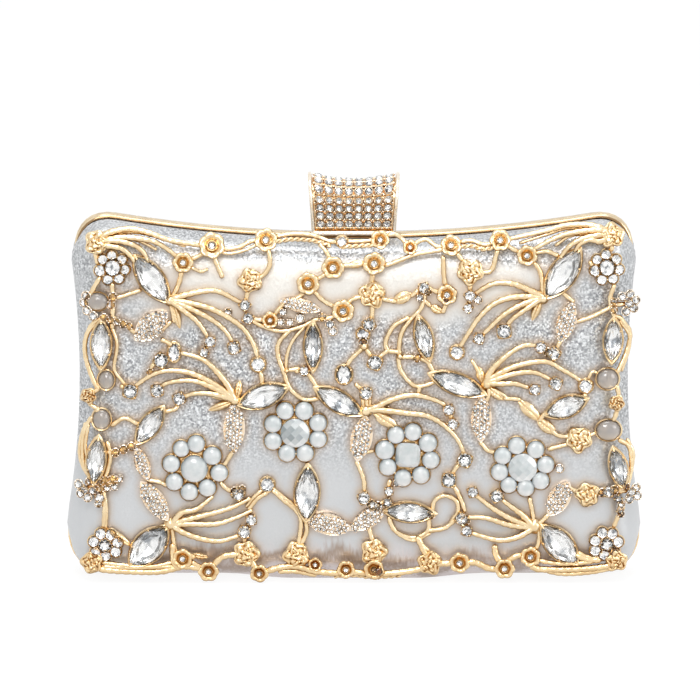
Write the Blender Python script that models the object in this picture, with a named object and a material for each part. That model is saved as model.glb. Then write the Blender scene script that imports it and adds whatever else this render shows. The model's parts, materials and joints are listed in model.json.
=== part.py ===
"""A hard evening clutch: two domed half shells in a hinged metal frame, a rocking
clasp on top, and a soldered cage of cast vines and set stones over the front face.

Units are metres and +Z is up. The clutch stands on the foot strips of its covers at
z = 0, its front face looks along -Y, and the halves part in the plane of the hinge.
Curves on the face are given in picture places: columns across and rows down a front
view in which FACE_COLUMNS span the case's width and FACE_ROWS its height.
"""

import math

import bpy
import bmesh
from mathutils import Matrix, Vector
from mathutils.bvhtree import BVHTree
from mathutils.geometry import delaunay_2d_cdt

# Case
CASE_WIDTH = 0.200
CASE_HEIGHT = 0.127
CASE_DEPTH = 0.024
TOP_SAG = 0.0071
TOP_CORNER = 0.012
FOOT_CORNER = 0.014
FOOT_RISE = 0.001
FOOT_NEAR = 0.0086
FOOT_FAR = 0.012
TIGHTEST_CORNER = 0.0015
SAG_REACH_SHARE = 0.85
WAIST_SHARE = 0.055
WAIST_PLACE_SHARE = 0.55
LOWER_REACH_SHARE = 0.43
UPPER_REACH_SHARE = 0.45

# Gaps between neighbours
GAP = 0.0003
PARTING = 0.00015

# Frame channel
FRAME_WALL = 0.0008
FRAME_WEB = 0.00105
FRAME_OUTER = 0.0046
FRAME_INNER = 0.0049
FRAME_EASE = 0.00035

# Layers of each half
COVER_WALL = 0.0006
SHELL_WALL = 0.0012
LINING_WALL = 0.0008
CHANNEL_INSET = FRAME_WALL + COVER_WALL + SHELL_WALL + 3 * GAP
DOME_SHARES = ((0.09, 0.735), (0.25, 0.86), (0.58, 0.93))
CROWN_SHARES = ((0.5, 0.98), (0.0, 1.0))

# Hinge
HINGE_RISE = 0.0019
KNUCKLE_RADIUS = 0.0016
KNUCKLE_NECK = 0.0013
KNUCKLE_TOP = 0.0042
HINGE_LENGTH = 0.110
KNUCKLES = 5
PIN_RADIUS = 0.00075
PIN_HEAD = 0.0011
PIN_HEAD_LENGTH = 0.0008
GROOVE_HALF_ANGLE = math.radians(42)

# Clasp
CLASP_LIFT = 0.0006
CLASP_HEIGHT = 0.0210
CLASP_HALF_FOOT = 0.0145
CLASP_HALF_TOP = 0.0160
CLASP_DEPTH = 0.0096
CLASP_WALL = 0.0010
CLASP_RECESS = 0.0014
CLASP_FLANGE = 0.0010
CLASP_DIP_SHARE = 0.12
SECTION_SHARES = (
    (-0.64, 0.0), (-0.84, 0.30), (-1.0, 0.58), (-0.93, 0.74), (-0.72, 0.88),
    (-0.38, 0.97), (0.0, 1.0), (0.38, 0.97), (0.72, 0.88), (0.93, 0.74),
    (1.0, 0.58), (0.84, 0.30), (0.71, 0.14),
)
FLANGE_SLOPE_SHARE = 0.004
FLOOR_SHARES = (-1, -0.5, 0, 0.5, 1)
INSIDE_SHARES = (-1, -0.85, -0.7, -0.35, 0, 0.35, 0.7, 0.85, 1)
STONE_COLUMNS = 8
STONE_ROWS = 15
STONE_SHEET = 0.0005
STONE_RISE = 0.0008
LATCH_BACK = 0.0020
LATCH_RISE = 0.0032
EAR_PLACE = 0.0100
EAR_THICK = 0.0012
EAR_RADIUS = 0.0017
EAR_WRAP = math.radians(20)
LUG_PLACE = 0.0123
LUG_OVERLAP = 0.0016
LUG_HALF = 0.0014
LATCH_PIN_HALF = 0.0132
BRACKET_HALF = 0.0116
BRACKET_PLATE = 0.0008
BRACKET_NEAR = 0.0006
BRACKET_FAR = 0.0042
KEEPER_HALF = 0.0050
KEEPER_NEAR = 0.0010
KEEPER_FAR = 0.0031
KEEPER_HEIGHT = 0.0016
KEEPER_LEAN_SHARE = 0.6
SPRING_RADIUS = 0.00145
SPRING_WIRE = 0.00025
SPRING_HALF = 0.0035
SPRING_TURNS = 5
SPRING_STEPS = 8
SPRING_LEG = 0.0030
SPRING_LEAN_SHARE = 0.35

# Chain lugs
LUG_PLACE_SHARE = 0.78
LUG_RING = 0.0026
LUG_WIRE = 0.0007

# Face plan: columns and rows of the front view, and what they span
FACE_COLUMNS = 575
FACE_ROWS = 359.5
MIDDLE_COLUMN = 353.8
FOOT_ROW = 583

# Cage: it lies on the dome in the middle and stands off its rounded edge
CAGE_STANDOFF = 0.0008
SHELF_LAG = 0.0014
SHELF_DROP = 0.0024
SHELF_REACH = 0.008
SHELF_EDGE = -0.001
CAGE_RISE = 0.0014
STROKE_STEP = 0.0015
STROKE_EASE = 0.0006
WIRE_WIDTH = 0.0014
TIP_WIDTH = 0.0009
STEM_WIDTH = 0.0016
ROSE_RISE = 0.0034
CUP_RISE = 0.0030
LEAF_RISE = 0.0020
BEZEL = 0.0008
PINCH_PAD = 0.0006
MERGE = 0.00004
THINNING = 0.0004

# Stones
STONE_FIT = 0.0003
STONE_LIFT = 0.0003
CRYSTAL_RISE = 0.0046
CRYSTAL_GIRDLE_SHARE = 0.45
CRYSTAL_TABLE_SHARE = 0.42
MARQUISE_SHARES = (-1, -0.55, 0, 0.55, 1)
TIP_GROW_SHARE = 1.5
OVAL_RISE = 0.0032
PEARL_RISE = 0.0034
PETAL_EDGE_SHARE = 0.45
PETAL_DIP_SHARE = 0.4
PEARL_SCALLOP = (math.radians(-52), 0, math.radians(52))
BRILLIANT_SCALLOP = (math.radians(-32), math.radians(32))
TRAY_STANDOFF = 0.0007
BRILLIANT_RISE = 0.0030

# Reach of a line of sight onto the face
FAR = 1.0

# Marquise crystals: tip, other tip, width
CRYSTAL_PIXELS = (
    ("crystal_upper_left", (136, 258), (167, 301), 24),
    ("crystal_left_side", (101, 322), (101, 367), 19),
    ("crystal_left_middle", (162, 408), (137, 442), 19),
    ("crystal_left_low", (98, 438), (93, 482), 18),
    ("crystal_foot_left", (130, 564), (166, 528), 29),
    ("crystal_inner_left", (240, 404), (286, 387), 22),
    ("crystal_centre_top", (313, 324), (313, 368), 17),
    ("crystal_centre", (317, 388), (360, 413), 20),
    ("crystal_centre_low", (308, 466), (306, 519), 24),
    ("crystal_foot_middle", (386, 510), (433, 513), 19),
    ("crystal_right_top", (419, 318), (429, 358), 17),
    ("crystal_inner_right", (432, 374), (483, 393), 20),
    ("crystal_right_middle", (547, 414), (586, 399), 20),
    ("crystal_upper_right", (579, 251), (547, 297), 26),
    ("crystal_right_side", (614, 320), (612, 361), 18),
    ("crystal_right_low", (614, 449), (624, 486), 17),
    ("crystal_foot_right", (543, 526), (577, 562), 26),
)

# Set flowers: name, middle column and row, its radius, then petals as column, row, radius
FLOWER_PIXELS = (
    ("pearl_flower_left", (194, 468, 14), (
        (181, 448, 8.5), (196, 443, 9), (212, 455, 9.5), (219, 472, 9),
        (207, 487, 9), (189, 491, 9), (174, 481, 9), (171, 463, 9))),
    ("pearl_flower_middle_left", (295, 432, 15), (
        (273, 423, 9), (285, 410, 9), (304, 410, 9.5), (318, 422, 9),
        (318, 438, 9), (305, 452, 9), (287, 452, 9), (273, 440, 9))),
    ("pearl_flower_middle_right", (408, 454, 15), (
        (396, 434, 9), (413, 431, 9), (428, 442, 9.5), (431, 459, 9),
        (421, 474, 9), (403, 477, 9), (388, 466, 9), (385, 449, 10))),
    ("pearl_flower_right", (523, 467, 15), (
        (517, 445, 9), (536, 449, 9), (546, 464, 9), (541, 480, 9),
        (526, 487, 9), (509, 484, 8.5), (500, 471, 9), (503, 455, 9))),
    ("brilliant_flower_top_left", (113, 268, 10), (
        (103, 260, 5.5), (112, 256, 5.5), (122, 260, 5.5), (125, 270, 5.5),
        (119, 279, 5.5), (108, 280, 5.5), (100, 271, 6))),
    ("brilliant_flower_top_right", (607, 268, 10), (
        (597, 260, 5.5), (606, 255, 5.5), (616, 260, 5.5), (619, 270, 5.5),
        (613, 279, 5.5), (602, 280, 5.5), (595, 271, 6))),
    ("brilliant_flower_foot_left", (104, 545, 8), (
        (93, 541, 6), (100, 533, 6), (110, 534, 6), (117, 542, 6),
        (115, 551, 6), (105, 555, 6), (95, 551, 6))),
    ("brilliant_flower_foot_right", (608, 544, 8), (
        (596, 540, 6), (603, 532, 6), (613, 533, 6), (619, 541, 6),
        (615, 551, 6), (605, 554, 6), (596, 550, 6))),
)

# Single stones: name, column, row, half across, half down
OVAL_PIXELS = (
    ("moonstone_upper_left", 97, 302, 11, 9),
    ("moonstone_left", 106, 380, 8, 9.5),
    ("moonstone_left_low", 101, 419, 9, 10.5),
    ("moonstone_right", 608, 379, 11, 10.5),
    ("moonstone_right_low", 609, 430, 12.5, 10.5),
    ("clear_oval_left", 174, 352, 6, 9),
    ("brilliant_top", 342, 243, 5, 5),
    ("brilliant_inner_left", 258, 364, 7, 7),
    ("brilliant_centre", 344, 374, 8, 9),
    ("brilliant_centre_top", 363, 334, 6, 6),
    ("brilliant_inner_right", 457, 352, 6.5, 6.5),
    ("brilliant_right", 586, 386, 6.5, 6.5),
    ("brilliant_low", 267, 484, 7, 7),
)

# Roses and cups of the cage: column, row, radius
ROSE_PIXELS = (
    (97, 243, 12), (250, 281, 12), (372, 295, 13), (470, 272, 13), (612, 236, 12),
    (88, 396, 8), (91, 562, 11), (246, 553, 13), (296, 554, 13), (430, 562, 12),
    (579, 439, 13), (617, 560, 11), (617, 403, 8), (588, 494, 12), (374, 551, 13),
)
CUP_PIXELS = (
    (183, 263, 10), (212, 246, 11), (266, 241, 10), (333, 268, 11), (308, 284, 11),
    (343, 311, 11), (270, 320, 8), (380, 241, 9), (374, 264, 11), (410, 248, 7),
    (451, 246, 10), (447, 295, 10), (500, 241, 10), (527, 256, 10), (182, 558, 10),
    (208, 571, 10), (259, 573, 9), (531, 556, 10), (505, 568, 10), (460, 562, 10),
    (315, 564, 7), (346, 569, 9), (374, 569, 10),
)
SETTING_PIXELS = (
    (245, 305, 6), (248, 318, 6), (210, 341, 6), (234, 347, 7), (204, 352, 5),
    (161, 360, 8), (130, 391, 8), (157, 390, 7), (179, 398, 7), (304, 370, 5),
    (375, 362, 8), (366, 392, 7), (424, 288, 6), (470, 296, 6), (468, 308, 5),
    (479, 338, 6), (504, 331, 8), (541, 347, 6), (554, 353, 7), (556, 383, 7),
    (535, 389, 6), (449, 409, 6), (453, 423, 6), (238, 493, 7), (244, 531, 7),
    (251, 519, 6), (364, 497, 7), (374, 504, 5), (465, 459, 8), (449, 479, 8),
    (473, 491, 6), (497, 495, 7), (462, 518, 7), (467, 530, 6), (389, 490, 5),
    (388, 501, 5), (619, 498, 4), (621, 509, 4), (609, 491, 6), (99, 497, 5),
    (379, 571, 5), (84, 489, 9), (632, 492, 8), (629, 304, 7), (369, 324, 7),
)

# Knots that the sprays' wires grow from: column, row, radius
KNOT_PIXELS = (
    (170, 301, 6), (235, 400, 6), (366, 410, 7), (487, 384, 6), (543, 299, 6),
    (170, 524, 7), (535, 526, 8), (287, 370, 3), (400, 356, 4), (364, 346, 5),
)

# Pave leaves and tassels: tip, other tip, width
LEAF_PIXELS = (
    ((133, 336), (162, 330), 26), ((279, 300), (321, 310), 15), ((392, 302), (413, 294), 12),
    ((235, 402), (233, 453), 22), ((366, 414), (357, 461), 22), ((482, 394), (481, 442), 21),
    ((573, 302), (560, 342), 20), ((136, 446), (148, 480), 15), ((140, 480), (168, 520), 21),
    ((306, 519), (352, 528), 22), ((350, 529), (387, 506), 19), ((570, 481), (549, 515), 22),
    ((172, 300), (180, 329), 9), ((236, 400), (208, 410), 9), ((236, 400), (240, 380), 8),
    ((487, 386), (505, 400), 10), ((484, 384), (478, 366), 9), ((541, 298), (532, 321), 9),
    ((372, 410), (398, 428), 12), ((112, 244), (126, 233), 10), ((98, 484), (121, 479), 11),
    ((345, 267), (367, 263), 8), ((106, 527), (131, 546), 8), ((190, 554), (208, 557), 7),
    ((518, 399), (541, 421), 12), ((537, 418), (556, 434), 12), ((430, 306), (443, 313), 9),
)

# Tapering wires of the sprays, each from its node outwards
SPRAY_PIXELS = (
    ((170, 300), (185, 295), (205, 291), (220, 292), (243, 304)),
    ((170, 300), (190, 303), (215, 310), (240, 325), (252, 341), (258, 358)),
    ((170, 300), (190, 308), (210, 318), (224, 329), (233, 342)),
    ((170, 300), (185, 311), (198, 322), (210, 340)),
    ((234, 399), (226, 382), (205, 360), (179, 352)),
    ((234, 399), (217, 385), (193, 373), (169, 370), (151, 375), (132, 388)),
    ((234, 399), (216, 388), (193, 380), (169, 382), (158, 388)),
    ((234, 399), (212, 393), (193, 393), (181, 398)),
    ((368, 409), (378, 405), (393, 398), (415, 394), (440, 401), (449, 409)),
    ((368, 409), (382, 409), (406, 412), (428, 415), (445, 425), (458, 439), (466, 457)),
    ((486, 382), (492, 369), (509, 353), (525, 345), (541, 346)),
    ((486, 382), (495, 375), (517, 365), (545, 361), (562, 369), (582, 381)),
    ((486, 382), (495, 379), (514, 373), (535, 372), (554, 381)),
    ((486, 382), (500, 383), (516, 383), (533, 389)),
    ((543, 297), (520, 286), (505, 283), (490, 285), (472, 296)),
    ((543, 297), (515, 297), (495, 303), (480, 316), (469, 332), (458, 350)),
    ((543, 297), (520, 305), (503, 315), (488, 329), (479, 338)),
    ((543, 297), (527, 308), (512, 319), (504, 330)),
    ((171, 524), (185, 519), (209, 513), (230, 507), (249, 498)),
    ((171, 524), (190, 523), (215, 523), (235, 517), (251, 510)),
    ((171, 524), (181, 512), (196, 508), (212, 496)),
    ((171, 524), (184, 532), (202, 538), (220, 540), (242, 534)),
    ((534, 527), (524, 515), (511, 505), (497, 495)),
    ((534, 527), (512, 518), (493, 507), (473, 492)),
    ((534, 527), (510, 524), (486, 517), (464, 517)),
    ((534, 527), (518, 536), (498, 539), (467, 531)),
    ((97, 243), (108, 234), (130, 230), (150, 234), (170, 241), (205, 247)),
    ((97, 243), (122, 238), (150, 241), (165, 248), (178, 258)),
    ((97, 243), (115, 241), (133, 245), (143, 252), (148, 262)),
    ((97, 243), (107, 246), (122, 249), (131, 257), (136, 264)),
    ((612, 236), (600, 229), (585, 226), (565, 227), (545, 232), (505, 241)),
    ((612, 236), (598, 231), (570, 234), (550, 241), (530, 252)),
    ((612, 236), (598, 236), (580, 240), (568, 248), (558, 262)),
    ((612, 236), (600, 242), (590, 240), (579, 245), (574, 254)),
)

# Stems of even width
STEM_PIXELS = (
    ((212, 246), (224, 250), (240, 248), (250, 243), (266, 241)),
    ((266, 241), (290, 236), (312, 237), (330, 243), (343, 243)),
    ((266, 241), (270, 263), (263, 276), (250, 281)), ((320, 246), (326, 252), (333, 268)),
    ((333, 268), (322, 277), (308, 284)), ((308, 284), (300, 297), (285, 303), (270, 320)),
    ((333, 268), (348, 266), (374, 264)), ((343, 243), (362, 243), (380, 241)),
    ((380, 241), (395, 236), (410, 248)), ((410, 248), (425, 241), (438, 248), (451, 246)),
    ((451, 246), (470, 242), (485, 246), (500, 241)), ((443, 258), (444, 277), (447, 295)),
    ((374, 264), (385, 266), (400, 261), (416, 255), (447, 250)), ((451, 246), (460, 258), (470, 272)),
    ((212, 246), (200, 256), (183, 263)), ((183, 263), (180, 280), (175, 293), (170, 300)),
    ((212, 250), (217, 265), (222, 277)), ((500, 241), (496, 256), (490, 272), (470, 272)),
    ((527, 256), (513, 250), (500, 241)), ((527, 256), (540, 272), (543, 297)),
    ((527, 256), (545, 252), (557, 256)), ((374, 264), (372, 280), (372, 295)),
    ((343, 311), (352, 300), (372, 295)), ((308, 284), (322, 300), (343, 311)),
    ((372, 295), (385, 300), (395, 302)), ((412, 296), (424, 288), (436, 292), (447, 295)),
    ((250, 281), (247, 295), (245, 305)),
    ((248, 318), (262, 326), (282, 331), (303, 326), (315, 320), (330, 318), (343, 311)),
    ((290, 330), (279, 342), (278, 355), (284, 372), (290, 388), (304, 399), (318, 398)),
    ((286, 370), (304, 370), (318, 388)), ((408, 318), (394, 326), (386, 340), (388, 350), (400, 352)),
    ((412, 318), (402, 332), (399, 350), (400, 368), (410, 382), (420, 386), (436, 381)),
    ((400, 357), (414, 357), (427, 361), (434, 373)), ((420, 386), (418, 393)),
    ((372, 295), (372, 315), (369, 324)), ((369, 324), (367, 334), (364, 346), (350, 360), (344, 374)),
    ((364, 346), (375, 362)), ((375, 360), (388, 350)), ((366, 392), (367, 409)),
    ((412, 318), (420, 310), (424, 300), (424, 288)), ((258, 364), (262, 380), (258, 392)),
    ((258, 364), (256, 348), (248, 337)), ((97, 243), (96, 256), (100, 271)),
    ((100, 278), (92, 292), (88, 306)), ((112, 284), (113, 300), (112, 314)),
    ((110, 300), (124, 296), (140, 291)), ((112, 317), (125, 325), (136, 334)),
    ((106, 316), (92, 325), (85, 342), (86, 360), (93, 380), (98, 389)),
    ((98, 389), (92, 393), (88, 396)), ((88, 396), (90, 404), (98, 409)),
    ((98, 409), (86, 426), (82, 446), (84, 466), (92, 480)), ((84, 489), (92, 484), (98, 484)),
    ((107, 442), (110, 455), (107, 470), (102, 483)), ((112, 425), (124, 418), (138, 424)),
    ((107, 452), (117, 452), (128, 446), (136, 446)), ((101, 484), (104, 505), (103, 528)),
    ((148, 480), (160, 482), (168, 486)), ((162, 340), (170, 344), (174, 352)),
    ((161, 360), (152, 366), (150, 376)), ((168, 520), (171, 524)),
    ((171, 524), (173, 540), (175, 550), (182, 558)), ((172, 545), (173, 560), (176, 567)),
    ((91, 565), (102, 569), (130, 571), (160, 571), (182, 566), (195, 567), (208, 571)),
    ((208, 571), (218, 559), (226, 555), (246, 553)), ((246, 553), (252, 562), (259, 573)),
    ((259, 573), (280, 567), (296, 566), (315, 571)),
    ((315, 571), (335, 573), (355, 572), (374, 574), (400, 572), (418, 569), (430, 565)),
    ((430, 562), (442, 563), (460, 562)), ((460, 562), (476, 562), (490, 568), (505, 568)),
    ((505, 568), (497, 555), (495, 546)), ((505, 562), (518, 555), (531, 556)),
    ((531, 560), (536, 568), (560, 569), (590, 568), (617, 564)), ((577, 555), (590, 559), (608, 559)),
    ((540, 527), (539, 543), (531, 556)), ((534, 527), (533, 512), (530, 498)),
    ((549, 514), (541, 522), (534, 527)), ((267, 492), (257, 498), (249, 508)),
    ((273, 490), (284, 500), (296, 510), (301, 522), (297, 552)),
    ((249, 510), (251, 519), (244, 531), (246, 553)), ((296, 552), (306, 533), (306, 519)),
    ((305, 458), (308, 466)), ((364, 497), (374, 504), (388, 501)), ((389, 482), (388, 501)),
    ((387, 506), (388, 501)), ((374, 551), (372, 538), (368, 524)),
    ((389, 517), (396, 531), (414, 537), (428, 530), (429, 516)),
    ((428, 530), (444, 528), (456, 519), (462, 518)),
    ((432, 514), (435, 500), (446, 495), (457, 501), (458, 512), (452, 520)),
    ((449, 479), (458, 492), (465, 510), (462, 518), (465, 530)), ((449, 479), (457, 466), (465, 459)),
    ((418, 537), (430, 562)), ((617, 560), (612, 556)), ((549, 449), (560, 446), (572, 443)),
    ((550, 424), (556, 434), (572, 437)), ((609, 491), (600, 492), (588, 494)),
    ((588, 494), (575, 490), (568, 486)), ((619, 498), (621, 509), (617, 520), (613, 530)),
    ((609, 491), (619, 490), (632, 492)), ((614, 286), (610, 300), (614, 317)),
    ((629, 304), (620, 305), (610, 304)), ((577, 322), (592, 317), (610, 308)),
    ((621, 320), (630, 333), (627, 352), (618, 372)), ((617, 386), (619, 395), (617, 403)),
    ((617, 403), (617, 412), (614, 420)), ((620, 440), (630, 448), (632, 468), (628, 486)),
    ((586, 392), (584, 400)), ((546, 412), (540, 420)), ((505, 398), (520, 399)),
    ((487, 384), (489, 394), (484, 404)), ((590, 263), (594, 268)), ((112, 328), (113, 308)),
    ((162, 330), (170, 322)), ((612, 240), (610, 258)), ((614, 316), (621, 319), (626, 328)),
    ((386, 494), (388, 488), (390, 480)), ((171, 524), (160, 526)), ((193, 556), (186, 556)),
    ((366, 410), (366, 420)), ((554, 430), (550, 424)), ((612, 248), (610, 256)),
    ((366, 392), (356, 384)), ((235, 448), (230, 455), (223, 466)),
    ((357, 461), (364, 480), (364, 497)), ((481, 442), (488, 450), (496, 452)),
    ((238, 493), (226, 488), (219, 480)), ((204, 352), (210, 341)), ((541, 346), (554, 353)),
    ((470, 296), (468, 308)), ((470, 284), (470, 296)), ((374, 569), (374, 556)),
    ((315, 564), (318, 572)), ((346, 569), (346, 574)), ((379, 571), (372, 574)),
    ((443, 312), (447, 302)), ((430, 306), (424, 300)), ((304, 370), (296, 371)),
    ((179, 398), (176, 408), (162, 412)), ((449, 409), (453, 423)), ((560, 342), (556, 350)),
    ((573, 302), (560, 292), (550, 294)), ((621, 486), (621, 492)), ((130, 391), (121, 386)),
    ((270, 320), (258, 320), (248, 318)),
)


def clear_scene():
    for thing in list(bpy.data.objects):
        bpy.data.objects.remove(thing, do_unlink=True)


def finish(name, colour, roughness, metallic):
    material = bpy.data.materials.new(name)
    material.use_nodes = True
    shader = material.node_tree.nodes["Principled BSDF"]
    shader.inputs["Base Color"].default_value = (*colour, 1.0)
    shader.inputs["Roughness"].default_value = roughness
    shader.inputs["Metallic"].default_value = metallic
    material.diffuse_color = (*colour, 1.0)
    return material


def new_object(name, points, faces, material):
    mesh = bpy.data.meshes.new(name)
    mesh.from_pydata([tuple(point) for point in points], [], faces)
    work = bmesh.new()
    work.from_mesh(mesh)
    bmesh.ops.recalc_face_normals(work, faces=work.faces)
    work.to_mesh(mesh)
    work.free()
    mesh.materials.append(material)
    mesh.shade_smooth()
    mesh.set_sharp_from_angle(angle=math.radians(35))
    piece = bpy.data.objects.new(name, mesh)
    bpy.context.scene.collection.objects.link(piece)
    return piece


def axis_empty(name, place, parent):
    empty = bpy.data.objects.new(name, None)
    bpy.context.scene.collection.objects.link(empty)
    empty.location = place
    empty.parent = parent
    return empty


def hang(piece, empty):
    """Parents a piece drawn in the clutch's own frame to an axis of that frame."""
    piece.parent = empty
    piece.location = -empty.location if empty.parent else Vector((0, 0, 0))


def add_boolean(piece, tool, operation, solver="EXACT"):
    cut = piece.modifiers.new(operation.lower(), "BOOLEAN")
    cut.operation = operation
    cut.solver = solver
    cut.object = tool
    tool.hide_render = True
    tool.display_type = "WIRE"


# Outline of the case

def rim_top():
    return CASE_HEIGHT - TOP_SAG


def warp(x, z):
    """Bends a plain rounded rectangle into the waisted outline with its sagging top."""
    height = rim_top() - FOOT_RISE
    share = max(0.0, (z - FOOT_RISE) / height)
    reach = x / (SAG_REACH_SHARE * CASE_WIDTH / 2)
    lifted = z + TOP_SAG * reach * reach * share
    off = share - WAIST_PLACE_SHARE
    span = LOWER_REACH_SHARE if off < 0 else UPPER_REACH_SHARE
    flare = WAIST_SHARE * (off / span) ** 2
    return x * (1 - WAIST_SHARE + flare), lifted


def arc_points(centre_x, centre_z, radius, start, stop, steps):
    turns = [start + (stop - start) * i / steps for i in range(steps + 1)]
    return [(centre_x + radius * math.cos(a), centre_z + radius * math.sin(a)) for a in turns]


def between(first, last, count):
    """Evenly spaced places strictly between two points."""
    shares = [i / (count + 1) for i in range(1, count + 1)]
    return [(first[0] + (last[0] - first[0]) * s, first[1] + (last[1] - first[1]) * s) for s in shares]


def outline(inset):
    """The case's outline drawn in by inset, counter-clockwise from its lower right corner."""
    half = CASE_WIDTH / 2 - inset
    low = FOOT_RISE + inset
    high = rim_top() - inset
    top = max(TOP_CORNER - inset, TIGHTEST_CORNER)
    foot = max(FOOT_CORNER - inset, TIGHTEST_CORNER)
    quarter = math.pi / 2
    lower_right = arc_points(half - foot, low + foot, foot, -quarter, 0, 4)
    upper_right = arc_points(half - top, high - top, top, 0, quarter, 4)
    upper_left = arc_points(top - half, high - top, top, quarter, 2 * quarter, 4)
    lower_left = arc_points(foot - half, low + foot, foot, 2 * quarter, 3 * quarter, 4)
    points = lower_right + between(lower_right[-1], upper_right[0], 3) + upper_right
    points += between(upper_right[-1], upper_left[0], 7) + upper_left
    points += between(upper_left[-1], lower_left[0], 3) + lower_left
    points += between(lower_left[-1], lower_right[0], 3)
    return [warp(x, z) for x, z in points]


def offset_line(points, distance):
    """Moves an open line of points to the right of its direction by distance."""
    moved = []
    for i, (a, b) in enumerate(points):
        normals = []
        for first, last in ((i - 1, i), (i, i + 1)):
            if first >= 0 and last < len(points):
                along = Vector((points[last][0] - points[first][0], points[last][1] - points[first][1]))
                along.normalize()
                normals.append(Vector((along.y, -along.x)))
        if len(normals) == 2:
            middle = (normals[0] + normals[1]) / (1 + normals[0].dot(normals[1]))
        else:
            middle = normals[0]
        moved.append((a + distance * middle.x, b + distance * middle.y))
    return moved


def cup_profile():
    """The cover's outside as (inset, depth), from its tucked rim over the foot strip to the dome."""
    rim = FRAME_WALL + GAP
    start = FRAME_WEB + PARTING + 2 * GAP
    dome = [(a * CASE_DEPTH, b * CASE_DEPTH) for a, b in DOME_SHARES]
    return [(rim, start), (rim, FRAME_INNER + GAP), (-FOOT_RISE, FOOT_NEAR), (-FOOT_RISE, FOOT_FAR)] + dome


def crown_loops(last, shares, drop):
    """Loops that draw the last outline in to the middle of the face."""
    middle_z = (rim_top() + FOOT_RISE) / 2
    loops = []
    for share, depth_share in shares:
        ring = [(x * share, middle_z + (z - middle_z) * share) for x, z in last]
        loops.append((ring, depth_share * CASE_DEPTH - drop))
    return loops


def half_cup(name, side, outer, inner, first, crown, material):
    """One layer of a half: outer and inner are its distances below the cover's outside."""
    profile = cup_profile()
    loops = []
    for drop in (outer, inner):
        line = offset_line(profile, drop)[first:]
        rings = [(outline(inset), depth) for inset, depth in line]
        rings += crown_loops(rings[-1][0], crown, drop)
        loops.append(rings)
    points = []
    faces = []
    starts = []
    for rings in loops:
        starts.append([])
        for ring, depth in rings[:-1]:
            starts[-1].append(len(points))
            points += [(x, side * depth, z) for x, z in ring]
        (x, z), depth = rings[-1][0][0], rings[-1][1]
        starts[-1].append(len(points))
        points.append((x, side * depth, z))
    count = len(loops[0][0][0])
    for rows in starts:
        for near, far in zip(rows[:-2], rows[1:-1]):
            faces += ring_faces(near, far, count)
        faces += [(rows[-2] + i, rows[-2] + (i + 1) % count, rows[-1]) for i in range(count)]
    faces += ring_faces(starts[0][0], starts[1][0], count)
    return new_object(name, points, faces, material)


def ring_faces(near, far, count):
    return [(near + i, near + (i + 1) % count, far + (i + 1) % count, far + i) for i in range(count)]


def frame_ring(name, side, material):
    """The channel that both shells sit in, run round the whole outline."""
    depth = CHANNEL_INSET
    profile = [
        (0, PARTING + FRAME_EASE), (FRAME_EASE, PARTING), (depth + FRAME_WALL, PARTING),
        (depth + FRAME_WALL, FRAME_INNER), (depth, FRAME_INNER), (depth, PARTING + FRAME_WEB),
        (FRAME_WALL, PARTING + FRAME_WEB), (FRAME_WALL, FRAME_OUTER), (0, FRAME_OUTER),
    ]
    rings = [outline(inset) for inset, _ in profile]
    count = len(rings[0])
    points = []
    faces = []
    for ring, (_, out) in zip(rings, profile):
        points += [(x, side * out, z) for x, z in ring]
    for i in range(len(profile)):
        faces += ring_faces(i * count, (i + 1) % len(profile) * count, count)
    return new_object(name, points, faces, material)


# Hinge

def extrude_ring(name, outer, inner, start, stop, material):
    """A prism along X with a hole through it; outer and inner pair up point by point."""
    count = len(outer)
    points = []
    faces = []
    for x in (start, stop):
        points += [(x, y, z) for y, z in outer]
        points += [(x, y, z) for y, z in inner]
    faces += ring_faces(0, 2 * count, count)
    faces += ring_faces(count, 3 * count, count)
    faces += ring_faces(0, count, count)
    faces += ring_faces(2 * count, 3 * count, count)
    return new_object(name, points, faces, material)


def knuckle_spans():
    pitch = HINGE_LENGTH / KNUCKLES
    return [(-HINGE_LENGTH / 2 + pitch * i + GAP / 2, -HINGE_LENGTH / 2 + pitch * (i + 1) - GAP / 2)
            for i in range(KNUCKLES)]


def cut_groove(frame):
    """Clears the frame round the barrel and below it, so that the halves can swing apart."""
    radius = KNUCKLE_RADIUS + GAP
    deep = HINGE_RISE + FOOT_RISE
    wide = deep * math.tan(GROOVE_HALF_ANGLE)
    turns = [math.pi * i / 8 for i in range(9)]
    line = [(radius * math.cos(a), HINGE_RISE + radius * math.sin(a)) for a in turns]
    line += [(-radius, 0), (-wide, -FOOT_RISE), (wide, -FOOT_RISE), (radius, 0)]
    count = len(line)
    reach = CASE_WIDTH / 2
    points = [(-reach, y, z) for y, z in line] + [(reach, y, z) for y, z in line]
    faces = ring_faces(0, count, count)
    faces += [tuple(range(count)), tuple(range(count, 2 * count))]
    tool = new_object(frame.name + "_groove", points, faces, frame.data.materials[0])
    add_boolean(frame, tool, "DIFFERENCE")
    return tool


def add_knuckles(frame, side, numbers):
    tools = []
    near = side * (PARTING + GAP)
    far = side * KNUCKLE_NECK
    for number in numbers:
        start, stop = knuckle_spans()[number]
        outer, inner = keyhole_pair(side, near, far)
        tool = extrude_ring(f"{frame.name}_knuckle_{number}", outer, inner, start, stop,
                            frame.data.materials[0])
        add_boolean(frame, tool, "UNION", "MANIFOLD")
        tools.append(tool)
    return tools


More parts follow.
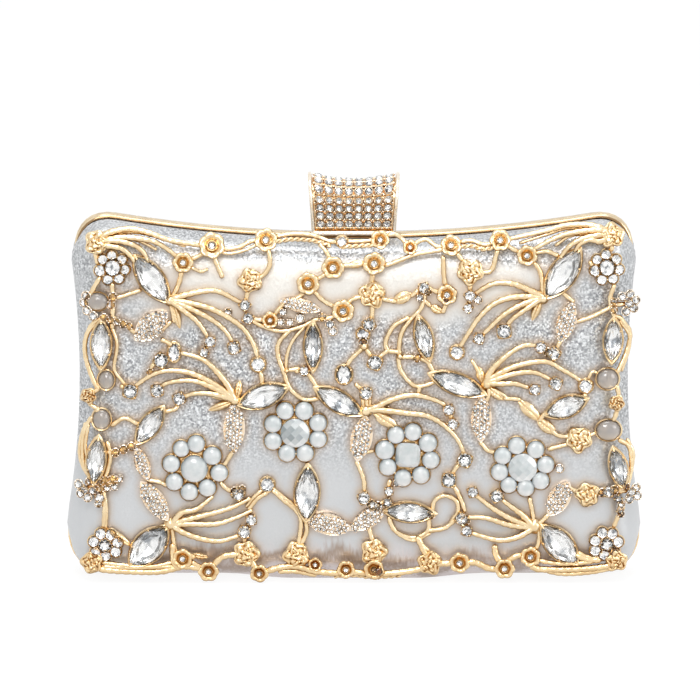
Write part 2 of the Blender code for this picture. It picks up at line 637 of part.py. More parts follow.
def keyhole_pair(side, near, far):
    """A knuckle's section: a tube whose neck stands on its own side of the parting plane."""
    bore = PIN_RADIUS + GAP
    start = math.acos(abs(near) / KNUCKLE_RADIUS)
    stop = 2 * math.pi + math.acos(abs(far) / KNUCKLE_RADIUS)
    turns = [start + (stop - start) * i / 13 for i in range(14)]
    line = [(side * KNUCKLE_RADIUS * math.cos(a), KNUCKLE_RADIUS * math.sin(a)) for a in turns]
    line += [(far, KNUCKLE_TOP - HINGE_RISE), (near, KNUCKLE_TOP - HINGE_RISE)]
    inner = []
    for y, z in line:
        length = math.hypot(y, z)
        inner.append((bore * y / length, HINGE_RISE + bore * z / length))
    return [(y, HINGE_RISE + z) for y, z in line], inner


def turned_x(name, profile, centre_y, centre_z, sides, material):
    """A solid turned about an axis along X from (x, radius) stations, closed at both ends."""
    points = []
    faces = []
    for x, radius in profile:
        for i in range(sides):
            angle = 2 * math.pi * i / sides
            points.append((x, centre_y + radius * math.cos(angle), centre_z + radius * math.sin(angle)))
    for i in range(len(profile) - 1):
        faces += ring_faces(i * sides, (i + 1) * sides, sides)
    faces += [tuple(range(sides)), tuple(range((len(profile) - 1) * sides, len(profile) * sides))]
    return new_object(name, points, faces, material)


def build_hinge_pin(material):
    half = HINGE_LENGTH / 2
    end = half + GAP + PIN_HEAD_LENGTH
    profile = [(-end, PIN_HEAD), (-half - GAP, PIN_HEAD), (-half - GAP, PIN_RADIUS),
               (half + GAP, PIN_RADIUS), (half + GAP, PIN_HEAD), (end, PIN_HEAD)]
    return turned_x("hinge_pin", profile, 0, HINGE_RISE, 12, material)


# Clasp

def clasp_section():
    return [(y * CLASP_DEPTH, z * CLASP_HEIGHT) for y, z in SECTION_SHARES]


def clasp_place(u, y, z):
    """Puts a section point at share u across the saddle: wider at its top, dipped in its middle."""
    share = z / CLASP_HEIGHT
    half = CLASP_HALF_FOOT + (CLASP_HALF_TOP - CLASP_HALF_FOOT) * share
    dip = 1 - CLASP_DIP_SHARE * (1 - u * u) * share
    return (u * half, y, rim_top() + CLASP_LIFT + z * dip)


def saddle_points(stations):
    """Points of a saddle surface; each station is (share across, inset of its section)."""
    points = []
    for u, inset in stations:
        points += [clasp_place(u, y, z) for y, z in offset_line(clasp_section(), inset)]
    return points


def strip_faces(start, stations, count):
    faces = []
    for i in range(stations - 1):
        for j in range(count - 1):
            a = start + i * count + j
            faces.append((a, a + 1, a + count + 1, a + count))
    return faces


def build_clasp_head(material):
    flange = 1 - CLASP_FLANGE / CLASP_HALF_FOOT
    inside = CLASP_RECESS + CLASP_WALL
    floor = flange - FLANGE_SLOPE_SHARE
    outer = [(-1, 0), (-flange, 0)]
    outer += [(u * floor, CLASP_RECESS) for u in FLOOR_SHARES]
    outer += [(flange, 0), (1, 0)]
    inner = [(u * floor, inside) for u in INSIDE_SHARES]
    count = len(SECTION_SHARES)
    points = saddle_points(outer) + saddle_points(inner)
    half = len(outer) * count
    faces = strip_faces(0, len(outer), count) + strip_faces(half, len(inner), count)
    for start in (0, (len(outer) - 1) * count, half, half + (len(inner) - 1) * count):
        faces.append(tuple(range(start, start + count)))
    for edge in (0, count - 1):
        for i in range(len(outer) - 1):
            a = i * count + edge
            faces.append((a, a + count, half + a + count, half + a))
    for row in (0, len(outer) - 1):
        a = row * count
        b = a + count - 1
        faces.append((a, b, half + b, half + a))
    head = new_object("clasp_head", points, faces, material)
    tools = []
    for side in (-1, 1):
        tools.append(lug_block(side, material))
        add_boolean(head, tools[-1], "UNION")
    reach = LATCH_PIN_HALF + GAP
    bore = turned_x("clasp_bore", [(-reach, PIN_RADIUS + GAP), (reach, PIN_RADIUS + GAP)],
                    LATCH_BACK, latch_height(), 12, material)
    add_boolean(head, bore, "DIFFERENCE")
    return head, tools + [bore]


def latch_height():
    return rim_top() + LATCH_RISE


def box_faces():
    return [(0, 1, 2, 3), (4, 5, 6, 7), (0, 1, 5, 4), (1, 2, 6, 5), (2, 3, 7, 6), (3, 0, 4, 7)]


def box_object(name, low, high, material):
    points = [(x, y, z) for z in (low[2], high[2])
              for x, y in ((low[0], low[1]), (high[0], low[1]), (high[0], high[1]), (low[0], high[1]))]
    return new_object(name, points, box_faces(), material)


def lug_block(side, material):
    near = side * LUG_PLACE
    far = side * (LUG_PLACE + LUG_OVERLAP)
    low = (min(near, far), LATCH_BACK - LUG_HALF, latch_height() - LUG_HALF)
    high = (max(near, far), LATCH_BACK + LUG_HALF, latch_height() + LUG_HALF)
    return box_object(f"clasp_lug_{'left' if side < 0 else 'right'}", low, high, material)


def resample(points, count):
    """Walks an open line in count equal steps."""
    lengths = [0.0]
    for first, last in zip(points[:-1], points[1:]):
        lengths.append(lengths[-1] + math.dist(first, last))
    walked = []
    for i in range(count + 1):
        goal = lengths[-1] * i / count
        k = max(j for j in range(len(points) - 1) if lengths[j] <= goal or j == 0)
        share = (goal - lengths[k]) / (lengths[k + 1] - lengths[k])
        walked.append(tuple(a + (b - a) * share for a, b in zip(points[k], points[k + 1])))
    return walked


def build_stone_mesh(material):
    """The sheet of set stones over the saddle, a low pyramid for each stone."""
    reach = 1 - (CLASP_FLANGE + 2 * GAP) / CLASP_HALF_FOOT
    under = resample(offset_line(clasp_section(), CLASP_RECESS - GAP), STONE_ROWS)
    over = resample(offset_line(clasp_section(), CLASP_RECESS - GAP - STONE_SHEET), STONE_ROWS)
    crest = CLASP_RECESS - GAP - STONE_SHEET - STONE_RISE
    peaks = resample(offset_line(clasp_section(), crest), 2 * STONE_ROWS)
    columns = [reach * (2 * i / STONE_COLUMNS - 1) for i in range(STONE_COLUMNS + 1)]
    rows = STONE_ROWS + 1
    points = [clasp_place(u, y, z) for u in columns for y, z in under]
    points += [clasp_place(u, y, z) for u in columns for y, z in over]
    top = len(columns) * rows
    faces = strip_faces(0, len(columns), rows)
    for i in range(STONE_COLUMNS):
        middle = (columns[i] + columns[i + 1]) / 2
        for j in range(STONE_ROWS):
            y, z = peaks[2 * j + 1]
            peak = len(points)
            points.append(clasp_place(middle, y, z))
            a = top + i * rows + j
            ring = (a, a + 1, a + rows + 1, a + rows)
            faces += [(ring[k], ring[(k + 1) % 4], peak) for k in range(4)]
    for i in range(STONE_COLUMNS):
        for edge in (0, STONE_ROWS):
            a = i * rows + edge
            faces.append((a, a + rows, top + a + rows, top + a))
    for j in range(STONE_ROWS):
        for edge in (0, STONE_COLUMNS):
            a = edge * rows + j
            faces.append((a, a + 1, top + a + 1, top + a))
    return new_object("clasp_stone_mesh", points, faces, material)


def build_bracket(material):
    low = (-BRACKET_HALF, BRACKET_NEAR, rim_top() + GAP)
    high = (BRACKET_HALF, BRACKET_FAR, rim_top() + GAP + BRACKET_PLATE)
    plate = box_object("latch_bracket", low, high, material)
    tools = []
    bore = PIN_RADIUS + GAP
    for side in (-1, 1):
        foot = rim_top() + GAP + BRACKET_PLATE / 2
        turns = [-EAR_WRAP + (math.pi + 2 * EAR_WRAP) * i / 9 for i in range(10)]
        line = [(EAR_RADIUS * math.cos(a), EAR_RADIUS * math.sin(a)) for a in turns]
        line += [(-EAR_RADIUS * math.cos(EAR_WRAP), foot - latch_height()),
                 (EAR_RADIUS * math.cos(EAR_WRAP), foot - latch_height())]
        inner = []
        for y, z in line:
            length = math.hypot(y, z)
            inner.append((LATCH_BACK + bore * y / length, latch_height() + bore * z / length))
        outer = [(LATCH_BACK + y, latch_height() + z) for y, z in line]
        near = side * EAR_PLACE
        far = side * (EAR_PLACE + EAR_THICK)
        ear = extrude_ring(f"latch_ear_{'left' if side < 0 else 'right'}", outer, inner, near, far, material)
        add_boolean(plate, ear, "UNION")
        tools.append(ear)
    return plate, tools


def build_keeper(material):
    base = rim_top() + GAP
    lean = KEEPER_LEAN_SHARE * (KEEPER_FAR - KEEPER_NEAR)
    line = [(-KEEPER_NEAR, base), (-KEEPER_FAR, base), (-KEEPER_FAR, base + KEEPER_HEIGHT / 2),
            (-KEEPER_FAR + lean, base + KEEPER_HEIGHT), (-KEEPER_NEAR, base + KEEPER_HEIGHT)]
    count = len(line)
    points = [(-KEEPER_HALF, y, z) for y, z in line] + [(KEEPER_HALF, y, z) for y, z in line]
    faces = ring_faces(0, count, count)
    faces += [tuple(range(count)), tuple(range(count, 2 * count))]
    return new_object("keeper", points, faces, material)


def build_spring(material):
    """A torsion spring wound on the clasp's pin, with a short leg at each end."""
    curve = bpy.data.curves.new("latch_spring", "CURVE")
    curve.dimensions = "3D"
    curve.bevel_depth = SPRING_WIRE
    curve.bevel_resolution = 0
    curve.use_fill_caps = True
    total = SPRING_TURNS * SPRING_STEPS
    route = []
    for i in range(total + 1):
        angle = 2 * math.pi * i / SPRING_STEPS
        x = -SPRING_HALF + 2 * SPRING_HALF * i / total
        route.append(Vector((x, LATCH_BACK + SPRING_RADIUS * math.cos(angle),
                             latch_height() + SPRING_RADIUS * math.sin(angle))))
    leg = Vector((0, -SPRING_LEG * SPRING_LEAN_SHARE, SPRING_LEG))
    route.insert(0, route[0] + Vector((0, 0, -SPRING_RADIUS / 2)))
    route.append(route[-1] + leg)
    spline = curve.splines.new("POLY")
    spline.points.add(len(route) - 1)
    for point, place in zip(spline.points, route):
        point.co = (*place, 1)
    curve.materials.append(material)
    piece = bpy.data.objects.new("latch_spring", curve)
    bpy.context.scene.collection.objects.link(piece)
    return piece


def build_chain_lug(name, side, material):
    """A wire eye that hangs from the back frame's inner wall, near a top corner."""
    x = side * LUG_PLACE_SHARE * CASE_WIDTH / 2
    place_x, under = warp(x, rim_top() - CHANNEL_INSET - FRAME_WALL)
    centre = Vector((place_x, (PARTING + FRAME_INNER) / 2, under - GAP - LUG_RING - LUG_WIRE))
    points = []
    faces = []
    around, sides = 14, 6
    for i in range(around):
        angle = 2 * math.pi * i / around
        for j in range(sides):
            turn = 2 * math.pi * j / sides
            radius = LUG_RING + LUG_WIRE * math.cos(turn)
            points.append(centre + Vector((radius * math.cos(angle), LUG_WIRE * math.sin(turn),
                                           radius * math.sin(angle))))
    for i in range(around):
        for j in range(sides):
            a = i * sides + j
            b = i * sides + (j + 1) % sides
            c = (i + 1) % around * sides + (j + 1) % sides
            d = (i + 1) % around * sides + j
            faces.append((a, b, c, d))
    return new_object(name, points, faces, material)


# Face: the surface that the cage and its stones follow

class Face:
    """The surface that the cage stands on, asked for its place under a point of the front view."""

    def __init__(self, cover):
        mesh = cover.data
        points = [vertex.co.copy() for vertex in mesh.vertices]
        self.tree = BVHTree.FromPolygons(points, [tuple(face.vertices) for face in mesh.polygons])

    def depth(self, x, z):
        """The front cover's own surface, or the shelf where that falls away behind it."""
        share = min(1.0, max(0.0, (inset_of(x, z) - SHELF_EDGE) / SHELF_REACH))
        shelf = SHELF_DROP * (1 - share) ** 2 + SHELF_LAG - CASE_DEPTH
        hit = self.tree.ray_cast(Vector((x, -FAR, z)), Vector((0, 1, 0)))
        return min(hit[0].y, shelf) if hit[0] else shelf


def inset_of(x, z):
    """How far inside the outline a place lies, by undoing the warp a step at a time."""
    guess_x, guess_z = x, z
    for _ in range(8):
        warped_x, warped_z = warp(guess_x, guess_z)
        guess_x += x - warped_x
        guess_z += z - warped_z
    half_x = CASE_WIDTH / 2
    half_z = (rim_top() - FOOT_RISE) / 2
    corner = TOP_CORNER if guess_z > FOOT_RISE + half_z else FOOT_CORNER
    off_x = abs(guess_x) - (half_x - corner)
    off_z = abs(guess_z - FOOT_RISE - half_z) - (half_z - corner)
    outside = math.hypot(max(off_x, 0), max(off_z, 0)) + min(max(off_x, off_z), 0)
    return corner - outside


def pixel():
    return CASE_WIDTH / FACE_COLUMNS


def on_face(column, row):
    x = (column - MIDDLE_COLUMN) * CASE_WIDTH / FACE_COLUMNS
    z = (FOOT_ROW - row) * CASE_HEIGHT / FACE_ROWS
    return Vector((x, z))


def smooth_route(points, step):
    """A smooth curve through the points, walked in steps of about the given length."""
    padded = [points[0] * 2 - points[1]] + points + [points[-1] * 2 - points[-2]]
    route = [points[0]]
    for i in range(1, len(padded) - 2):
        a, b, c, d = padded[i - 1:i + 3]
        parts = max(1, round((c - b).length / step))
        for k in range(1, parts + 1):
            t = k / parts
            route.append(0.5 * (2 * b + (c - a) * t + (2 * a - 5 * b + 4 * c - d) * t * t
                                + (3 * b - a - 3 * c + d) * t * t * t))
    return route


def ease(route, tolerance):
    """Drops the places of an open line that lie within tolerance of a straighter one."""
    if len(route) < 3:
        return route
    first, last = route[0], route[-1]
    along = (last - first).normalized()
    across = Vector((-along.y, along.x))
    offs = [abs((place - first).dot(across)) for place in route]
    worst = max(range(len(route)), key=offs.__getitem__)
    if offs[worst] <= tolerance:
        return [first, last]
    return ease(route[:worst + 1], tolerance)[:-1] + ease(route[worst:], tolerance)


def stroke(points, start_width, end_width):
    """The outline of a wire seen from the front, as one counter-clockwise polygon."""
    route = ease(smooth_route([on_face(*point) for point in points], STROKE_STEP), STROKE_EASE)
    left = []
    right = []
    for i, place in enumerate(route):
        along = route[min(i + 1, len(route) - 1)] - route[max(i - 1, 0)]
        along.normalize()
        share = i / (len(route) - 1)
        half = (start_width + (end_width - start_width) * share) / 2
        across = Vector((-along.y, along.x)) * half
        left.append(place + across)
        right.append(place - across)
    return right + left[::-1]


def disc(column, row, radius, sides, turn=0.0):
    middle = on_face(column, row)
    turns = [turn + 2 * math.pi * i / sides for i in range(sides)]
    return [middle + radius * Vector((math.cos(a), math.sin(a))) for a in turns]


def oval(middle, half_across, half_down, sides):
    turns = [2 * math.pi * i / sides for i in range(sides)]
    return [middle + Vector((half_across * math.cos(a), half_down * math.sin(a))) for a in turns]


def marquise(first, last, width, grow):
    """A pointed oval between two tips, grown all round."""
    middle = (first + last) / 2
    along = (last - first) / 2
    half = along.length + TIP_GROW_SHARE * grow
    along.normalize()
    across = Vector((-along.y, along.x))
    side = width / 2 + grow
    lower = [middle + along * half * s - across * side * (1 - s * s) for s in MARQUISE_SHARES]
    upper = [middle + along * half * s + across * side * (1 - s * s) for s in MARQUISE_SHARES[-2:0:-1]]
    return lower + upper


class Plan:
    """Polygons in the front view, joined into one flat region and raised into a solid."""

    def __init__(self):
        self.points = []
        self.polygons = []
        self.kinds = []
        self.peaks = []
        self.fitted = set()

    def add(self, polygon, rise):
        """A polygon that is part of the solid; rise is its height above the standoff."""
        self.polygons.append(self._place(polygon))
        self.kinds.append(rise)

    def cut(self, polygon):
        """A polygon that is open, whose line fits a stone and so keeps every point."""
        self.polygons.append(self._place(polygon))
        self.kinds.append(None)
        self.fitted.update(self.polygons[-1])

    def peak(self, place, rise):
        """A lone point with its own height."""
        self.peaks.append((len(self.points), rise))
        self.points.append(place)

    def _place(self, polygon):
        start = len(self.points)
        self.points += polygon
        return list(range(start, start + len(polygon)))

    def triangles(self):
        places, _, faces, sources, _, owners = delaunay_2d_cdt(
            self.points, [], self.polygons, 1, MERGE)
        kept = []
        for face, owner in zip(faces, owners):
            if owner and not any(self.kinds[i] is None for i in owner):
                kept.append((tuple(face), owner))
        return places, kept, sources

    def largest(self, kept):
        """The biggest connected share of the triangles, joined across shared edges."""
        edges = {}
        for number, (face, _) in enumerate(kept):
            for a, b in zip(face, face[1:] + face[:1]):
                edges.setdefault((min(a, b), max(a, b)), []).append(number)
        neighbours = [[] for _ in kept]
        for group in edges.values():
            if len(group) == 2:
                neighbours[group[0]].append(group[1])
                neighbours[group[1]].append(group[0])
        seen = set()
        groups = []
        for start in range(len(kept)):
            if start in seen:
                continue
            stack = [start]
            seen.add(start)
            group = []
            while stack:
                here = stack.pop()
                group.append(here)
                for other in neighbours[here]:
                    if other not in seen:
                        seen.add(other)
                        stack.append(other)
            groups.append(group)
        groups.sort(key=len, reverse=True)
        return [kept[i] for i in groups[0]], [kept[group[0]][0] for group in groups[1:]]

    def region(self):
        """The joined region, with a small pad wherever it would only meet at a point."""
        for _ in range(6):
            places, kept, sources = self.triangles()
            kept, lost = self.largest(kept)
            touching = {}
            for a, b in rim_edges([face for face, _ in kept]):
                touching[a] = touching.get(a, 0) + 1
                touching[b] = touching.get(b, 0) + 1
            pinched = [index for index, times in touching.items() if times != 2]
            if not pinched:
                break
            for index in pinched:
                turns = [2 * math.pi * i / 6 for i in range(6)]
                pad = [places[index] + PINCH_PAD * Vector((math.cos(a), math.sin(a))) for a in turns]
                self.add(pad, CAGE_RISE)
        return places, kept, sources, lost


def rim_edges(faces):
    """The directed edges that only one triangle has."""
    edges = set()
    for face in faces:
        for a, b in zip(face, face[1:] + face[:1]):
            edges.add((a, b))
    return [(a, b) for a, b in edges if (b, a) not in edges]


def rim_loops(edges):
    """Chains directed edges into closed loops of point numbers."""
    following = dict(edges)
    loops = []
    while following:
        start = next(iter(following))
        loop = [start]
        here = following.pop(start)
        while here != start:
            loop.append(here)
            here = following.pop(here)
        loops.append(loop)
    return loops


def thin_loop(loop, places, fitted, tolerance):
    """Drops the points of a closed loop that lie on a straight line with those kept."""
    kept = [loop[0]]
    start = 0
    count = len(loop)
    while start < count:
        stop = start + 1
        while stop < count and loop[stop] not in fitted:
            first = places[loop[start]]
            last = places[loop[(stop + 1) % count]]
            along = last - first
            if along.length <= tolerance:
                break
            across = Vector((-along.y, along.x)).normalized()
            middle = [places[loop[k]] - first for k in range(start + 1, stop + 1)]
            if any(abs(step.dot(across)) > tolerance for step in middle):
                break
            if any(step.dot(along) < 0 or step.dot(along) > along.length_squared for step in middle):
                break
            stop += 1
        if stop < count:
            kept.append(loop[stop])
        start = stop
    return kept


def raise_plan(name, plan, face, foot, material):
    """Turns a joined region into a solid that follows the face at the height foot."""
    places, kept, sources, lost = plan.region()
    rises = {}
    for triangle, owner in kept:
        rise = max(plan.kinds[i] for i in owner)
        for index in triangle:
            rises[index] = max(rises.get(index, 0.0), rise)
    corners = []
    heights = []
    rings = []
    fitted = {index for index in rises if plan.fitted.intersection(sources[index])}
    for loop in rim_loops(rim_edges([triangle for triangle, _ in kept])):
        thinned = thin_loop(loop, places, fitted, THINNING)
        if len(thinned) > 2:
            rings.append(list(range(len(corners), len(corners) + len(thinned))))
            corners += [places[index] for index in thinned]
            heights += [rises[index] for index in thinned]
    edges = [pair for ring in rings for pair in zip(ring, ring[1:] + ring[:1])]
    inside = {source for index in rises for source in sources[index]}
    for index, rise in plan.peaks:
        if index in inside:
            corners.append(plan.points[index])
            heights.append(rise)
    places, _, faces, sources, _, _ = delaunay_2d_cdt(corners, edges, [], 1, MERGE / 10)
    faces = welded(places, region_faces(faces, edges, sources), MERGE)
    rise_at = [max((heights[source] for source in group), default=CAGE_RISE) for group in sources]
    used = sorted({index for triangle in faces for index in triangle})
    number = {index: i for i, index in enumerate(used)}
    top = len(used)
    points = []
    for lift in (0, 1):
        for index in used:
            x, z = places[index]
            points.append((x, face.depth(x, z) - foot - lift * rise_at[index], z))
    solid = []
    for triangle in faces:
        a, b, c = (number[index] for index in triangle)
        solid.append((a, b, c))
        solid.append((top + c, top + b, top + a))
    for first, last in rim_edges(faces):
        first, last = number[first], number[last]
        solid.append((last, first, top + first, top + last))
    return new_object(name, points, solid, material), lost


def welded(places, faces, reach):
    """Joins the neighbouring corners of triangles that lie closer than reach."""
    lead = {index: index for face in faces for index in face}
    for face in faces:
        for a, b in zip(face, face[1:] + face[:1]):
            if (places[a] - places[b]).length < reach:
                taken, kept = sorted((lead[a], lead[b]))
                lead.update({index: kept for index, first in lead.items() if first == taken})
    joined = [tuple(lead[index] for index in face) for face in faces]
    return [face for face in joined if len(set(face)) == len(face)]


def region_faces(faces, edges, sources):
    """Keeps the triangles on the left of the region's directed edges."""
    place_of = {}
    for index, group in enumerate(sources):
        for source in group:
            place_of[source] = index
    walls = {(place_of[a], place_of[b]) for a, b in edges}
    owners = {}
    for number, face in enumerate(faces):
        for a, b in zip(face, face[1:] + face[:1]):
            owners[(a, b)] = number
    kept = set()
    stack = [owners[wall] for wall in walls if wall in owners]
    while stack:
        number = stack.pop()
        if number in kept:
            continue
        kept.add(number)
        face = faces[number]
        for a, b in zip(face, face[1:] + face[:1]):
            if (a, b) not in walls and (b, a) in owners:
                stack.append(owners[(b, a)])
    return [tuple(faces[number]) for number in sorted(kept)]


# Cage

def flower_scallop(name):
    """Where round each petal's outer side the flower's line has its points."""
    return PEARL_SCALLOP if name.startswith("pearl") else BRILLIANT_SCALLOP


def flower_line(middle, petals, grow, scallop):
    """The closed line round a flower's petals, grown all round."""
    centre = on_face(*middle[:2])
    spokes = []
    for column, row, radius in petals:
        place = on_face(column, row)
        outward = math.atan2(place.y - centre.y, place.x - centre.x)
        spokes.append((outward, place, radius * pixel() + grow))
    line = []
    for outward, place, reach in sorted(spokes, key=lambda spoke: spoke[0]):
        turns = [outward + turn for turn in scallop]
        line += [place + reach * Vector((math.cos(a), math.sin(a))) for a in turns]
    return line


def cage_plan():
    plan = Plan()
    for points in SPRAY_PIXELS:
        plan.add(stroke(points, STEM_WIDTH, TIP_WIDTH), CAGE_RISE)
    for points in STEM_PIXELS:
        plan.add(stroke(points, WIRE_WIDTH, WIRE_WIDTH), CAGE_RISE)
    for column, row, radius in ROSE_PIXELS:
        plan.add(disc(column, row, radius * pixel(), 8), CAGE_RISE)
        plan.peak(on_face(column, row), ROSE_RISE)
    for column, row, radius in CUP_PIXELS:
        plan.add(disc(column, row, radius * pixel(), 6), CUP_RISE)
        plan.peak(on_face(column, row), CAGE_RISE)
    for column, row, radius in SETTING_PIXELS:
        plan.add(disc(column, row, radius * pixel(), 5), CUP_RISE)
    for column, row, radius in KNOT_PIXELS:
        plan.add(disc(column, row, radius * pixel(), 6), CAGE_RISE)
    for first, last, width in LEAF_PIXELS:
        plan.add(marquise(on_face(*first), on_face(*last), width * pixel(), 0), LEAF_RISE)
    for _, first, last, width in CRYSTAL_PIXELS:
        ends = on_face(*first), on_face(*last)
        plan.add(marquise(*ends, width * pixel(), BEZEL + STONE_FIT), CAGE_RISE)
        plan.cut(marquise(*ends, width * pixel(), STONE_FIT))
    for name, middle, petals in FLOWER_PIXELS:
        plan.add(flower_line(middle, petals, BEZEL + STONE_FIT, flower_scallop(name)), CAGE_RISE)
        plan.cut(flower_line(middle, petals, STONE_FIT, flower_scallop(name)))
    for _, column, row, across, down in OVAL_PIXELS:
        middle = on_face(column, row)
        grow = BEZEL + STONE_FIT
        plan.add(oval(middle, across * pixel() + grow, down * pixel() + grow, 8), CAGE_RISE)
        plan.cut(oval(middle, across * pixel() + STONE_FIT, down * pixel() + STONE_FIT, 8))
    return plan


# Stones

def local_plane(face, middle, reach):
    """The face's slope at a place, so that a stone can lie along it."""
    across = Vector((reach, 0))
    down = Vector((0, reach))
    slope_x = (face.depth(*(middle + across)) - face.depth(*(middle - across))) / (2 * reach)
    slope_z = (face.depth(*(middle + down)) - face.depth(*(middle - down))) / (2 * reach)
    return face.depth(*middle), slope_x, slope_z


def gem(name, outline_points, middle, face, rise, table_share, material):
    """A faceted stone: a girdle, a small table and a low point behind."""
    reach = min((point - middle).length for point in outline_points)
    depth, slope_x, slope_z = local_plane(face, middle, reach)
    girdle = rise * CRYSTAL_GIRDLE_SHARE

    def at(place, height):
        off = place - middle
        plane = depth + slope_x * off.x + slope_z * off.y
        return (place.x, plane - STONE_LIFT - height, place.y)

    count = len(outline_points)
    points = [at(place, girdle) for place in outline_points]
    points += [at(middle + (place - middle) * table_share, rise) for place in outline_points]
    points.append(at(middle, 0))
    faces = ring_faces(0, count, count)
    faces.append(tuple(range(count, 2 * count)))
    faces += [(i, (i + 1) % count, 2 * count) for i in range(count)]
    return new_object(name, points, faces, material)


def build_crystals(face, material):
    pieces = []
    for name, first, last, width in CRYSTAL_PIXELS:
        ends = on_face(*first), on_face(*last)
        line = marquise(*ends, width * pixel(), 0)
        middle = (ends[0] + ends[1]) / 2
        pieces.append(gem(name, line, middle, face, CRYSTAL_RISE, CRYSTAL_TABLE_SHARE, material))
    return pieces


def build_ovals(face, moonstone, glass):
    pieces = []
    for name, column, row, across, down in OVAL_PIXELS:
        middle = on_face(column, row)
        line = oval(middle, across * pixel(), down * pixel(), 8)
        rise = OVAL_RISE if name.startswith("moonstone") else BRILLIANT_RISE
        material = moonstone if name.startswith("moonstone") else glass
        pieces.append(gem(name, line, middle, face, rise, CRYSTAL_TABLE_SHARE, material))
    return pieces


def build_flowers(face, pearl, glass):
    """Each flower is one cast tray with a dome for each stone and a dip between neighbours."""
    pieces = []
    for name, middle, petals in FLOWER_PIXELS:
        plan = Plan()
        rise = PEARL_RISE if name.startswith("pearl") else BRILLIANT_RISE
        plan.add(flower_line(middle, petals, 0, flower_scallop(name)), rise * PETAL_EDGE_SHARE)
        plan.fitted.update(plan.polygons[-1])
        centre = on_face(*middle[:2])
        plan.peak(centre, rise)
        places = [on_face(column, row) for column, row, _ in petals]
        for place, neighbour in zip(places, places[1:] + places[:1]):
            plan.peak(place, rise)
            plan.peak((place + centre) / 2, rise * PETAL_DIP_SHARE)
            if name.startswith("pearl"):
                plan.peak((place + neighbour) / 2, rise * PETAL_DIP_SHARE)
        material = pearl if name.startswith("pearl") else glass
        piece, _ = raise_plan(name, plan, face, TRAY_STANDOFF, material)
        pieces.append(piece)
    return pieces


def main():
    clear_scene()
    gold = finish("pale_gold_plate", (0.86, 0.66, 0.34), 0.22, 1.0)
    rose_gold = finish("rose_gold_plate", (0.83, 0.56, 0.40), 0.2, 1.0)
    steel = finish("steel", (0.55, 0.55, 0.56), 0.3, 1.0)
    silver_cloth = finish("silver_fabric", (0.62, 0.63, 0.66), 0.42, 0.75)
    lining_cloth = finish("grey_lining", (0.30, 0.30, 0.33), 0.8, 0.0)
    board = finish("shell_plastic", (0.12, 0.12, 0.13), 0.55, 0.0)
    glass = finish("clear_crystal", (0.90, 0.93, 0.96), 0.04, 0.3)
    pearl = finish("milky_cabochon", (0.86, 0.88, 0.88), 0.2, 0.0)
    moonstone = finish("moonstone", (0.60, 0.57, 0.52), 0.18, 0.0)

    placement = axis_empty("placement", (0, 0, 0), None)
    lid_axis = axis_empty("lid_axis", (0, 0, HINGE_RISE), placement)
    clasp_axis = axis_empty("clasp_axis", (0, LATCH_BACK, latch_height()), placement)

    cover_drop = COVER_WALL
    shell_drop = cover_drop + GAP + SHELL_WALL
    lining_drop = shell_drop + GAP + LINING_WALL
    flat = CROWN_SHARES[-1:]
    halves = {}
    for word, side in (("back", 1), ("front", -1)):
        cover = half_cup(f"{word}_cover", side, 0, cover_drop, 0, CROWN_SHARES, silver_cloth)
        shell = half_cup(f"{word}_shell", side, cover_drop + GAP, shell_drop, 0, flat, board)
        lining = half_cup(f"{word}_lining", side, shell_drop + GAP, lining_drop, 1, flat, lining_cloth)
        frame = frame_ring(f"{word}_frame", side, gold)
        tools = [cut_groove(frame)]
        numbers = range(0, KNUCKLES, 2) if side > 0 else range(1, KNUCKLES, 2)
        tools += add_knuckles(frame, side, numbers)
        halves[word] = [cover, shell, lining, frame] + tools

    face = Face(halves["front"][0])
    cage, lost = raise_plan("filigree_cage", cage_plan(), face, CAGE_STANDOFF, gold)
    print("pieces of the cage that join nothing:", len(lost))
    trim = [cage] + build_crystals(face, glass) + build_ovals(face, moonstone, glass)
    trim += build_flowers(face, pearl, glass)

    head, head_tools = build_clasp_head(rose_gold)
    bracket, bracket_tools = build_bracket(steel)
    latch_pin = turned_x("latch_pin", [(-LATCH_PIN_HALF, PIN_RADIUS), (LATCH_PIN_HALF, PIN_RADIUS)],
                         LATCH_BACK, latch_height(), 12, steel)
    fixed = halves["back"] + [build_hinge_pin(steel), bracket, latch_pin, build_spring(steel)]
    fixed += bracket_tools
    fixed += [build_chain_lug("chain_lug_left", -1, gold), build_chain_lug("chain_lug_right", 1, gold)]
    for piece in fixed:
        hang(piece, placement)
    for piece in halves["front"] + trim + [build_keeper(gold)]:
        hang(piece, lid_axis)
    for piece in [head, build_stone_mesh(rose_gold)] + head_tools:
        hang(piece, clasp_axis)

    front_reach = CASE_DEPTH + STONE_LIFT + CRYSTAL_RISE
    placement.location.y = (front_reach - CASE_DEPTH) / 2


main()
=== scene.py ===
"""The looks of a hard evening clutch: silver foil cloth over two domed halves, polished gold
rails, a champagne-gold clasp set with rhinestones, and a cast vine cage over the front that
carries crystals, cabochon flowers, roses and pave leaves.

Everything is in metres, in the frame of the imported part. Places on the front are given as
columns and rows of a front view, as in the part itself, and are laid on the front cover.
"""

import json
import logging
import math
from collections.abc import Callable, Sequence
from dataclasses import dataclass, field
from enum import Enum
from functools import partial

import bmesh
import bpy
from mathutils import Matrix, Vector
from mathutils.bvhtree import BVHTree

